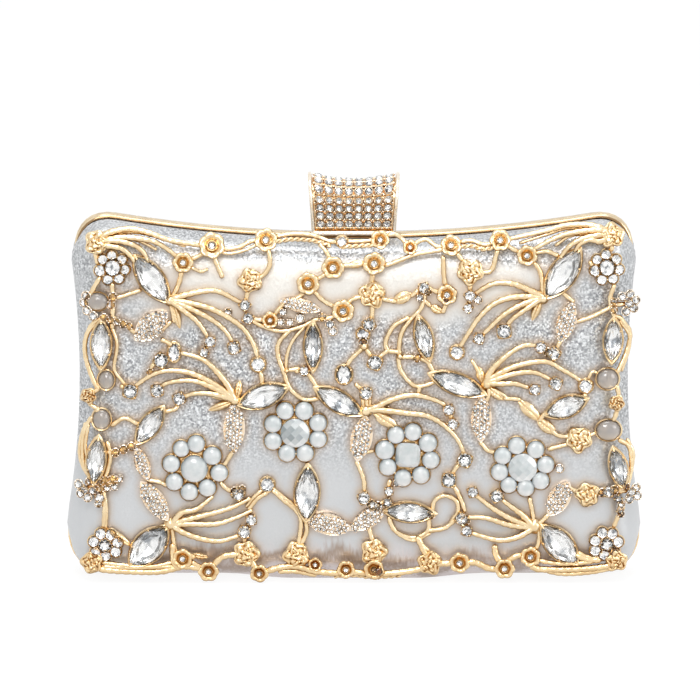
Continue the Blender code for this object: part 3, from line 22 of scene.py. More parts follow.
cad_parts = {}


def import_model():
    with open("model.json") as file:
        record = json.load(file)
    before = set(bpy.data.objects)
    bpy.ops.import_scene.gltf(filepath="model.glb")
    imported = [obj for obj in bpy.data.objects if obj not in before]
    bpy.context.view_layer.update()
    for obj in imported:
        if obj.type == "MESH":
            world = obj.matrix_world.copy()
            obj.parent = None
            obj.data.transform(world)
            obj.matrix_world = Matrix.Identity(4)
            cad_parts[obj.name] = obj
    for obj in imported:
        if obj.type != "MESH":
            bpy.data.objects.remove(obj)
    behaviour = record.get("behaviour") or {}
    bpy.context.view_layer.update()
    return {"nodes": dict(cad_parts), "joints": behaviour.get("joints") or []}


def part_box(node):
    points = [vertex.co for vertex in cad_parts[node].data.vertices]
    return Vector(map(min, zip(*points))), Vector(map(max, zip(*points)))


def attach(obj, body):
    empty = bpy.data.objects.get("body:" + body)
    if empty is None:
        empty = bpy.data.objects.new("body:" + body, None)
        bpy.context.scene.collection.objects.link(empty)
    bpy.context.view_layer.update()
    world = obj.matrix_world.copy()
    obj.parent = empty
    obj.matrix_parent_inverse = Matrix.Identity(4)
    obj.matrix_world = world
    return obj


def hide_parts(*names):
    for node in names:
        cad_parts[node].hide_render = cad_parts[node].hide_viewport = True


log = logging.getLogger("clutch")

Pair = tuple[float, float]
Colour = tuple[float, float, float, float]
NodeMaker = Callable[..., bpy.types.Node]
Inputs = dict[str, object]
# What a relief gives at a share of the way out and an angle: places across and up, height, tone
Relief = Callable[[float, float], tuple[float, float, float, float]]
MM = 0.001
TURN = 2 * math.pi
# The power of a sine that draws a marquise: above 1 it runs out to points
MARQUISE_POWER = 1.75

# Front view: columns and rows, and the case's width and height that they span
FACE_COLUMNS = 575
FACE_ROWS = 359.5
MIDDLE_COLUMN = 353.8
FOOT_ROW = 583

# Marquise crystals: name, then column and row of one tip and of the other, and the width
CRYSTAL_PIXELS = (
    ("crystal_upper_left", 136, 258, 167, 301, 24), ("crystal_left_side", 101, 322, 101, 367, 19),
    ("crystal_left_middle", 162, 408, 137, 442, 19), ("crystal_left_low", 98, 438, 93, 482, 18),
    ("crystal_foot_left", 130, 564, 166, 528, 29), ("crystal_inner_left", 240, 404, 286, 387, 22),
    ("crystal_centre_top", 313, 324, 313, 368, 17), ("crystal_centre", 317, 388, 360, 413, 20),
    ("crystal_centre_low", 308, 466, 306, 519, 24), ("crystal_foot_middle", 386, 510, 433, 513, 19),
    ("crystal_right_top", 419, 318, 429, 358, 17), ("crystal_inner_right", 432, 374, 483, 393, 20),
    ("crystal_right_middle", 547, 414, 586, 399, 20), ("crystal_upper_right", 579, 251, 547, 297, 26),
    ("crystal_right_side", 614, 320, 612, 361, 18), ("crystal_right_low", 614, 449, 624, 486, 17),
    ("crystal_foot_right", 543, 526, 577, 562, 26),
)

# Set flowers: name, middle column, row and radius, then each petal's column, row, radius
PEARL_FLOWER_PIXELS = (
    ("pearl_flower_left", (194, 468, 14), (
        (181, 448, 8.5), (196, 443, 9), (212, 455, 9.5), (219, 472, 9), (207, 487, 9), (189, 491, 9),
        (174, 481, 9), (171, 463, 9))),
    ("pearl_flower_middle_left", (295, 432, 15), (
        (273, 423, 9), (285, 410, 9), (304, 410, 9.5), (318, 422, 9), (318, 438, 9), (305, 452, 9),
        (287, 452, 9), (273, 440, 9))),
    ("pearl_flower_middle_right", (408, 454, 15), (
        (396, 434, 9), (413, 431, 9), (428, 442, 9.5), (431, 459, 9), (421, 474, 9), (403, 477, 9),
        (388, 466, 9), (385, 449, 10))),
    ("pearl_flower_right", (523, 467, 15), (
        (517, 445, 9), (536, 449, 9), (546, 464, 9), (541, 480, 9), (526, 487, 9), (509, 484, 8.5),
        (500, 471, 9), (503, 455, 9))),
)
BRILLIANT_FLOWER_PIXELS = (
    ("brilliant_flower_top_left", (113, 268, 10), (
        (103, 260, 5.5), (112, 256, 5.5), (122, 260, 5.5), (125, 270, 5.5), (119, 279, 5.5),
        (108, 280, 5.5), (100, 271, 6))),
    ("brilliant_flower_top_right", (607, 268, 10), (
        (597, 260, 5.5), (606, 255, 5.5), (616, 260, 5.5), (619, 270, 5.5), (613, 279, 5.5),
        (602, 280, 5.5), (595, 271, 6))),
    ("brilliant_flower_foot_left", (104, 545, 8), (
        (93, 541, 6), (100, 533, 6), (110, 534, 6), (117, 542, 6), (115, 551, 6), (105, 555, 6),
        (95, 551, 6))),
    ("brilliant_flower_foot_right", (608, 544, 8), (
        (596, 540, 6), (603, 532, 6), (613, 533, 6), (619, 541, 6), (615, 551, 6), (605, 554, 6),
        (596, 550, 6))),
)

# Single stones: name, column, row, half across, half down
OVAL_PIXELS = (
    ("moonstone_upper_left", 97, 302, 11, 9), ("moonstone_left", 106, 380, 8, 9.5),
    ("moonstone_left_low", 101, 419, 9, 10.5), ("moonstone_right", 608, 379, 11, 10.5),
    ("moonstone_right_low", 609, 430, 12.5, 10.5), ("clear_oval_left", 174, 352, 6, 9),
    ("brilliant_top", 342, 243, 5, 5), ("brilliant_inner_left", 258, 364, 7, 7),
    ("brilliant_centre", 344, 374, 8, 9), ("brilliant_centre_top", 363, 334, 6, 6),
    ("brilliant_inner_right", 457, 352, 6.5, 6.5), ("brilliant_right", 586, 386, 6.5, 6.5),
    ("brilliant_low", 267, 484, 7, 7),
)

# Roses, cups and claw settings of the cage: column, row, radius
ROSE_PIXELS = (
    (97, 243, 12), (250, 281, 12), (372, 295, 13), (470, 272, 13), (612, 236, 12), (88, 396, 8),
    (91, 562, 11), (246, 553, 13), (296, 554, 13), (430, 562, 12), (579, 439, 13), (617, 560, 11),
    (617, 403, 8), (588, 494, 12), (374, 551, 13),
)
CUP_PIXELS = (
    (183, 263, 10), (212, 246, 12.5), (266, 241, 11), (333, 268, 11), (308, 284, 11), (343, 311, 11),
    (270, 320, 8), (380, 241, 9), (374, 264, 11), (410, 248, 7), (451, 246, 10), (447, 295, 10),
    (500, 241, 10), (527, 256, 10), (182, 558, 10), (208, 571, 10), (259, 573, 9), (531, 556, 10),
    (505, 568, 10), (460, 562, 10), (315, 564, 7), (346, 569, 9), (374, 569, 10),
)
SETTING_PIXELS = (
    (245, 305, 6), (248, 318, 6), (210, 341, 6), (234, 347, 7), (204, 352, 5), (161, 360, 8), (130, 391, 8),
    (157, 390, 7), (179, 398, 7), (304, 370, 5), (375, 362, 8), (366, 392, 7), (424, 288, 6), (470, 296, 6),
    (468, 308, 5), (479, 338, 6), (504, 331, 8), (541, 347, 6), (554, 353, 7), (556, 383, 7), (535, 389, 6),
    (449, 409, 6), (453, 423, 6), (238, 493, 7), (244, 531, 7), (251, 519, 6), (364, 497, 7), (374, 504, 5),
    (465, 459, 8), (449, 479, 8), (473, 491, 6), (497, 495, 7), (462, 518, 7), (467, 530, 6), (389, 490, 5),
    (388, 501, 5), (619, 498, 4), (621, 509, 4), (609, 491, 6), (99, 497, 5), (379, 571, 5), (84, 489, 4.5),
    (632, 492, 4.5), (629, 304, 4.5), (369, 324, 7),
)

# Knots that the sprays' wires grow from: column, row, radius
KNOT_PIXELS = (
    (170, 301, 6), (235, 400, 6), (366, 410, 7), (487, 384, 6), (543, 299, 6), (170, 524, 7), (535, 526, 8),
    (287, 370, 3), (400, 356, 4), (364, 346, 5),
)

# Pave and plain leaves: column and row of one tip and of the other, and the width
LEAF_PIXELS = (
    (134, 340, 168, 312, 25), (279, 300, 321, 310, 15), (392, 302, 413, 294, 12), (235, 402, 233, 453, 22),
    (366, 414, 357, 461, 22), (482, 394, 481, 442, 21), (573, 302, 560, 342, 20), (136, 446, 148, 480, 15),
    (140, 480, 168, 520, 21), (306, 519, 352, 528, 22), (350, 529, 387, 506, 19), (570, 481, 549, 515, 22),
    (172, 300, 180, 329, 9), (236, 400, 208, 410, 9), (236, 400, 240, 380, 8), (487, 386, 505, 400, 10),
    (484, 384, 478, 366, 9), (541, 298, 532, 321, 9), (372, 410, 398, 428, 12), (112, 244, 126, 233, 10),
    (98, 484, 121, 479, 11), (345, 267, 367, 263, 8), (106, 527, 131, 546, 8), (190, 554, 208, 557, 7),
    (518, 399, 541, 421, 12), (537, 418, 556, 434, 12), (430, 306, 443, 313, 9),
)

# Tapering wires of the sprays: columns and rows in turn, each from its knot outwards
SPRAY_PIXELS = (
    (170, 300, 185, 295, 205, 291, 220, 292, 243, 304),
    (170, 300, 190, 303, 215, 310, 240, 325, 252, 341, 258, 358),
    (170, 300, 190, 308, 210, 318, 224, 329, 233, 342), (170, 300, 185, 311, 198, 322, 210, 340),
    (234, 399, 226, 382, 205, 360, 179, 352), (234, 399, 217, 385, 193, 373, 169, 370, 151, 375, 132, 388),
    (234, 399, 216, 388, 193, 380, 169, 382, 158, 388), (234, 399, 212, 393, 193, 393, 181, 398),
    (368, 409, 378, 405, 393, 398, 415, 394, 440, 401, 449, 409),
    (368, 409, 382, 409, 406, 412, 428, 415, 445, 425, 458, 439, 466, 457),
    (486, 382, 492, 369, 509, 353, 525, 345, 541, 346),
    (486, 382, 495, 375, 517, 365, 545, 361, 562, 369, 582, 381),
    (486, 382, 495, 379, 514, 373, 535, 372, 554, 381), (486, 382, 500, 383, 516, 383, 533, 389),
    (543, 297, 520, 286, 505, 283, 490, 285, 472, 296),
    (543, 297, 515, 297, 495, 303, 480, 316, 469, 332, 458, 350),
    (543, 297, 520, 305, 503, 315, 488, 329, 479, 338), (543, 297, 527, 308, 512, 319, 504, 330),
    (171, 524, 185, 519, 209, 513, 230, 507, 249, 498), (171, 524, 190, 523, 215, 523, 235, 517, 251, 510),
    (171, 524, 181, 512, 196, 508, 212, 496), (171, 524, 184, 532, 202, 538, 220, 540, 242, 534),
    (534, 527, 524, 515, 511, 505, 497, 495), (534, 527, 512, 518, 493, 507, 473, 492),
    (534, 527, 510, 524, 486, 517, 464, 517), (534, 527, 518, 536, 498, 539, 467, 531),
    (97, 243, 108, 234, 130, 230, 150, 234, 170, 241, 205, 247),
    (97, 243, 122, 238, 150, 241, 165, 248, 178, 258), (97, 243, 115, 241, 133, 245, 143, 252, 148, 262),
    (97, 243, 107, 246, 122, 249, 131, 257, 136, 264),
    (612, 236, 600, 229, 585, 226, 565, 227, 545, 232, 505, 241),
    (612, 236, 598, 231, 570, 234, 550, 241, 530, 252), (612, 236, 598, 236, 580, 240, 568, 248, 558, 262),
    (612, 236, 600, 242, 590, 240, 579, 245, 574, 254),
)

# Stems of even width
STEM_PIXELS = (
    (212, 246, 224, 250, 240, 248, 250, 243, 266, 241), (266, 241, 290, 236, 312, 237, 330, 243, 343, 243),
    (266, 241, 270, 263, 263, 276, 250, 281), (320, 246, 326, 252, 333, 268),
    (333, 268, 322, 277, 308, 284), (308, 284, 300, 297, 285, 303, 270, 320),
    (333, 268, 348, 266, 374, 264), (343, 243, 362, 243, 380, 241), (380, 241, 395, 236, 410, 248),
    (410, 248, 425, 241, 438, 248, 451, 246), (451, 246, 470, 242, 485, 246, 500, 241),
    (443, 258, 444, 277, 447, 295), (374, 264, 385, 266, 400, 261, 416, 255, 447, 250),
    (451, 246, 460, 258, 470, 272), (212, 246, 200, 256, 183, 263),
    (183, 263, 180, 280, 175, 293, 170, 300), (212, 250, 217, 265, 222, 277),
    (500, 241, 496, 256, 490, 272, 470, 272), (527, 256, 513, 250, 500, 241),
    (527, 256, 540, 272, 543, 297), (527, 256, 545, 252, 557, 256), (374, 264, 372, 280, 372, 295),
    (343, 311, 352, 300, 372, 295), (308, 284, 322, 300, 343, 311), (372, 295, 385, 300, 395, 302),
    (412, 296, 424, 288, 436, 292, 447, 295), (250, 281, 247, 295, 245, 305),
    (248, 318, 262, 326, 282, 331, 303, 326, 315, 320, 330, 318, 343, 311),
    (290, 330, 279, 342, 278, 355, 284, 372, 290, 388, 304, 399, 318, 398), (286, 370, 304, 370, 318, 388),
    (408, 318, 394, 326, 386, 340, 388, 350, 400, 352),
    (412, 318, 402, 332, 399, 350, 400, 368, 410, 382, 420, 386, 436, 381),
    (400, 357, 414, 357, 427, 361, 434, 373), (420, 386, 418, 393), (372, 295, 372, 315, 369, 324),
    (369, 324, 367, 334, 364, 346, 350, 360, 344, 374), (364, 346, 375, 362), (375, 360, 388, 350),
    (366, 392, 367, 409), (412, 318, 420, 310, 424, 300, 424, 288), (258, 364, 262, 380, 258, 392),
    (258, 364, 256, 348, 248, 337), (97, 243, 96, 256, 100, 271), (100, 278, 92, 292, 88, 306),
    (112, 284, 113, 300, 112, 314), (110, 300, 124, 296, 140, 291), (112, 317, 125, 325, 136, 334),
    (106, 316, 92, 325, 85, 342, 86, 360, 93, 380, 98, 389), (98, 389, 92, 393, 88, 396),
    (88, 396, 90, 404, 98, 409), (98, 409, 86, 426, 82, 446, 84, 466, 92, 480), (84, 489, 92, 484, 98, 484),
    (107, 442, 110, 455, 107, 470, 102, 483), (112, 425, 124, 418, 138, 424),
    (107, 452, 117, 452, 128, 446, 136, 446), (101, 484, 104, 505, 103, 528),
    (148, 480, 160, 482, 168, 486), (162, 340, 170, 344, 174, 352), (161, 360, 152, 366, 150, 376),
    (168, 520, 171, 524), (171, 524, 173, 540, 175, 550, 182, 558), (172, 545, 173, 560, 176, 567),
    (91, 565, 102, 569, 130, 571, 160, 571, 182, 566, 195, 567, 208, 571),
    (208, 571, 218, 559, 226, 555, 246, 553), (246, 553, 252, 562, 259, 573),
    (259, 573, 280, 567, 296, 566, 315, 571),
    (315, 571, 335, 573, 355, 572, 374, 574, 400, 572, 418, 569, 430, 565), (430, 562, 442, 563, 460, 562),
    (460, 562, 476, 562, 490, 568, 505, 568), (505, 568, 497, 555, 495, 546),
    (505, 562, 518, 555, 531, 556), (531, 560, 536, 568, 560, 569, 590, 568, 617, 564),
    (577, 555, 590, 559, 608, 559), (540, 527, 539, 543, 531, 556), (534, 527, 533, 512, 530, 498),
    (549, 514, 541, 522, 534, 527), (267, 492, 257, 498, 249, 508),
    (273, 490, 284, 500, 296, 510, 301, 522, 297, 552), (249, 510, 251, 519, 244, 531, 246, 553),
    (296, 552, 306, 533, 306, 519), (305, 458, 308, 466), (364, 497, 374, 504, 388, 501),
    (389, 482, 388, 501), (387, 506, 388, 501), (374, 551, 372, 538, 368, 524),
    (389, 517, 396, 531, 414, 537, 428, 530, 429, 516), (428, 530, 444, 528, 456, 519, 462, 518),
    (432, 514, 435, 500, 446, 495, 457, 501, 458, 512, 452, 520),
    (449, 479, 458, 492, 465, 510, 462, 518, 465, 530), (449, 479, 457, 466, 465, 459),
    (418, 537, 430, 562), (617, 560, 612, 556), (549, 449, 560, 446, 572, 443),
    (550, 424, 556, 434, 572, 437), (609, 491, 600, 492, 588, 494), (588, 494, 575, 490, 568, 486),
    (619, 498, 621, 509, 617, 520, 613, 530), (609, 491, 619, 490, 632, 492),
    (614, 286, 610, 300, 614, 317), (629, 304, 620, 305, 610, 304), (577, 322, 592, 317, 610, 308),
    (621, 320, 630, 333, 627, 352, 618, 372), (617, 386, 619, 395, 617, 403),
    (617, 403, 617, 412, 614, 420), (620, 440, 630, 448, 632, 468, 628, 486), (586, 392, 584, 400),
    (546, 412, 540, 420), (505, 398, 520, 399), (487, 384, 489, 394, 484, 404), (590, 263, 594, 268),
    (112, 328, 113, 308), (162, 330, 170, 322), (612, 240, 610, 258), (614, 316, 621, 319, 626, 328),
    (386, 494, 388, 488, 390, 480), (171, 524, 160, 526), (193, 556, 186, 556), (366, 410, 366, 420),
    (554, 430, 550, 424), (612, 248, 610, 256), (366, 392, 356, 384), (235, 448, 230, 455, 223, 466),
    (357, 461, 364, 480, 364, 497), (481, 442, 488, 450, 496, 452), (238, 493, 226, 488, 219, 480),
    (204, 352, 210, 341), (541, 346, 554, 353), (470, 296, 468, 308), (470, 284, 470, 296),
    (374, 569, 374, 556), (315, 564, 318, 572), (346, 569, 346, 574), (379, 571, 372, 574),
    (443, 312, 447, 302), (430, 306, 424, 300), (304, 370, 296, 371), (179, 398, 176, 408, 162, 412),
    (449, 409, 453, 423), (560, 342, 556, 350), (573, 302, 560, 292, 550, 294), (621, 486, 621, 492),
    (130, 391, 121, 386), (270, 320, 258, 320, 248, 318),
)

# Second wires that run beside a stem, and pairs of thin wires twisted together
TWIN_PIXELS = (
    (102, 238, 120, 234, 140, 234, 160, 239, 185, 247), (102, 243, 120, 239, 140, 242, 156, 250),
    (607, 235, 590, 230, 566, 230, 545, 236, 520, 244), (607, 238, 590, 235, 570, 237, 556, 246),
    (102, 562, 125, 565, 150, 566, 172, 562), (606, 557, 585, 562, 560, 563, 540, 560),
    (363, 392, 363, 408), (370, 392, 370, 408), (295, 500, 299, 511, 306, 520, 316, 523),
    (262, 489, 253, 497, 246, 506), (272, 487, 283, 496, 294, 505, 300, 516),
    (103, 490, 106, 508, 105, 528), (389, 521, 398, 533, 414, 540, 430, 533),
    (231, 396, 222, 398, 212, 396), (491, 388, 500, 392, 508, 398),
    (212, 246, 226, 254, 245, 251, 266, 241), (183, 263, 200, 272, 207, 270),
    (305, 326, 293, 340, 287, 355, 286, 370), (112, 328, 117, 345, 114, 368, 121, 380, 130, 391),
    (586, 386, 592, 372, 599, 374), (351, 449, 360, 452, 376, 450), (588, 436, 598, 432),
    (300, 399, 304, 404), (418, 540, 430, 552), (182, 558, 192, 562, 208, 571), (88, 425, 85, 445, 88, 465),
    (104, 319, 90, 330, 84, 345), (628, 440, 634, 454, 632, 472), (102, 566, 130, 567, 175, 566),
    (578, 552, 590, 557, 605, 557), (531, 565, 560, 573, 590, 572, 612, 568),
    (280, 571, 296, 571, 315, 575), (85, 424, 80, 440, 79, 455, 83, 468, 89, 477),
    (620, 322, 629, 335, 629, 350, 622, 371), (472, 360, 478, 370, 483, 380),
    (174, 322, 172, 312, 170, 302), (430, 531, 445, 528, 455, 520),
)
ROPE_PIXELS = (
    (266, 245, 290, 241, 312, 242, 330, 247), (343, 248, 362, 247, 380, 246),
    (451, 250, 470, 247, 485, 250, 500, 246), (335, 576, 355, 575, 374, 577, 400, 575),
)

# Small round stones set in collars of their own: column, row, radius
GRAIN_PIXELS = (
    (113, 297, 4), (111, 305, 4), (86, 296, 4), (84, 303, 4), (87, 311, 4), (93, 316, 4), (104, 318, 4),
    (111, 320, 3.5), (117, 322, 3.5), (123, 324, 3.5), (129, 326, 3.5), (614, 302, 3.5), (614, 310, 3.5),
    (622, 297, 4), (630, 295, 4), (636, 301, 4), (634, 309, 4), (626, 312, 4), (78, 484, 4), (80, 493, 4),
    (87, 497, 4), (92, 490, 3.5), (89, 481, 4), (98, 481, 3.5), (105, 479, 3.5), (112, 478, 3.5),
    (119, 478, 3.5), (100, 488, 3.5), (107, 487, 3.5), (114, 486, 3.5), (98, 503, 3.5), (115, 452, 4),
    (123, 449, 4), (131, 446, 4), (603, 492, 4), (615, 489, 4), (626, 486, 4), (637, 488, 4), (638, 496, 4),
    (630, 499, 4), (622, 504, 3.5), (621.5, 513, 3.5), (371, 503, 4), (378, 505, 4), (387, 503, 4),
    (397, 482, 3.5), (283, 312, 3.5), (290, 322, 3.5), (281, 322, 3.5), (300, 318, 4), (322, 317, 4),
    (330, 324, 4), (333, 331, 4), (417, 358, 3.5), (428, 292, 3.5), (420, 298, 3.5), (234, 490, 3.5),
    (242, 488, 3.5), (446, 301, 3.5), (386, 403, 3.5), (363, 341, 4), (548, 352, 4), (228, 312, 3.5),
    (431, 514, 4), (466, 520, 4), (560, 468, 4), (478, 300, 4), (150, 372, 3.5),
)



def pairs(numbers: Sequence[float]) -> list[Pair]:
    """The columns and rows that a flat list of numbers holds in turn."""
    return list(zip(numbers[::2], numbers[1::2]))


def linear(code: str) -> Colour:
    """Turns an sRGB hex value into the linear colour that a shader reads, with an alpha of 1."""
    parts = [int(code[i:i + 2], 16) / 255 for i in (1, 3, 5)]
    return (*(c / 12.92 if c <= 0.04045 else ((c + 0.055) / 1.055) ** 2.4 for c in parts), 1.0)


def feed(node: bpy.types.Node, inputs: dict | Sequence) -> bpy.types.Node:
    """Sets or links a node's inputs.

    Args:
        node: The node.
        inputs: A value for each input, by name or number or in order. It is a plain value, an
            sRGB hex value, an output socket, or a node whose first output in use is linked.

    Returns:
        The same node.
    """
    for key, value in inputs.items() if isinstance(inputs, dict) else enumerate(inputs):
        if isinstance(value, bpy.types.Node):
            value = next(socket for socket in value.outputs if socket.enabled)
        if isinstance(value, bpy.types.NodeSocket):
            node.id_data.links.new(value, node.inputs[key])
        else:
            node.inputs[key].default_value = linear(value) if isinstance(value, str) else value
    return node


def add_node(tree: bpy.types.NodeTree, kind: str, inputs: dict | Sequence = (),
             **settings: object) -> bpy.types.Node:
    """Adds a node with its settings and links.

    Args:
        tree: The node tree that takes the node.
        kind: The node's type name without its leading "ShaderNode".
        inputs: What its inputs are fed, as for feed.
        **settings: Its properties by name.

    Returns:
        The new node.
    """
    node = tree.nodes.new("ShaderNode" + kind)
    for name, value in settings.items():
        setattr(node, name, value)
    return feed(node, inputs)


def ease(value: float, low: float, high: float) -> float:
    """How far a value has come from low to high, with a soft start and end."""
    share = max(0.0, min(1.0, (value - low) / (high - low)))
    return share * share * (3 - 2 * share)


def smooth_route(points: Sequence[Vector], parts: int = 0, step: float = 0.0) -> list[Vector]:
    """Walks a smooth curve through points.

    Args:
        points: The places that the curve passes, in order.
        parts: How many steps each span takes, or 0 to take it from step.
        step: About how long each step is, where parts is 0.

    Returns:
        The places along the curve, with both ends.
    """
    padded = [points[0] * 2 - points[1], *points, points[-1] * 2 - points[-2]]
    route = [points[0].copy()]
    for i in range(1, len(padded) - 2):
        a, b, c, d = padded[i - 1:i + 3]
        count = parts or max(1, round((c - b).length / step))
        for k in range(1, count + 1):
            t = k / count
            route.append(0.5 * (2 * b + (c - a) * t + (2 * a - 5 * b + 4 * c - d) * t * t
                                + (3 * b - a - 3 * c + d) * t * t * t))
    return route


def walk(points: Sequence[Vector], goals: Sequence[float]) -> list[Vector]:
    """Finds the places at given distances along an open line.

    Args:
        points: The line's points, in order.
        goals: Distances from its start, in shares of its whole length.

    Returns:
        The place at each distance.
    """
    lengths = [0.0]
    for first, last in zip(points[:-1], points[1:]):
        lengths.append(lengths[-1] + (last - first).length)
    walked = []
    for goal in goals:
        reach = goal * lengths[-1]
        k = max(j for j in range(len(points) - 1) if lengths[j] <= reach)
        share = (reach - lengths[k]) / (lengths[k + 1] - lengths[k])
        walked.append(points[k].lerp(points[k + 1], share))
    return walked


def heading(line: Sequence[Vector], i: int) -> Vector:
    """The direction of an open line at its point i."""
    return (line[min(i + 1, len(line) - 1)] - line[max(i - 1, 0)]).normalized()


def offset_line(points: Sequence[Vector], distance: float) -> list[Vector]:
    """Moves an open flat line to the right of its direction by distance."""
    ways = [heading(points, i) for i in range(len(points))]
    return [place + distance * Vector((way.y, -way.x)) for place, way in zip(points, ways)]


def put(name: str, data: bpy.types.ID) -> bpy.types.Object:
    """Puts a mesh, lamp or camera in the scene.

    Args:
        name: The object's name.
        data: What it shows.

    Returns:
        The new object.
    """
    thing = bpy.data.objects.new(name, data)
    bpy.context.scene.collection.objects.link(thing)
    return thing


@dataclass(frozen=True)
class Seat:
    """A place on the object with its own axes: across, up, and out of the surface."""

    origin: Vector
    across: Vector
    up: Vector
    out: Vector

    def at(self, u: float, v: float, h: float) -> Vector:
        """The point u across, v up and h out from the seat."""
        return self.origin + self.across * u + self.up * v + self.out * h

    def polar(self, radius: float, angle: float, h: float, squeeze: float = 1.0) -> Vector:
        """The point at a radius and angle, h out; squeeze narrows the radius across up."""
        return self.at(radius * math.cos(angle), radius * squeeze * math.sin(angle), h)

    def turned(self, angle: float) -> "Seat":
        """Turns the seat about its outward axis.

        Args:
            angle: How far its across axis turns towards up.

        Returns:
            The turned seat.
        """
        cos, sin = math.cos(angle), math.sin(angle)
        return Seat(self.origin, self.across * cos + self.up * sin,
                    self.up * cos - self.across * sin, self.out)

    def lifted(self, height: float) -> "Seat":
        """The same seat, further out of the surface."""
        return Seat(self.origin + self.out * height, self.across, self.up, self.out)


class Cut(Enum):
    """Outline that a stone is cut to."""

    ROUND = "round"
    MARQUISE = "marquise"
    SQUARE = "square"

    def edge(self, angle: float) -> Pair:
        """Walks the outline.

        Args:
            angle: How far round.

        Returns:
            The place there, in shares of the outline's half sizes.
        """
        cos, sin = math.cos(angle), math.sin(angle)
        if self is Cut.MARQUISE:
            return cos, math.copysign(abs(sin) ** MARQUISE_POWER, sin)
        if self is Cut.SQUARE:
            reach = (cos ** 4 + sin ** 4) ** -0.25
            return cos * reach, sin * reach
        return cos, sin


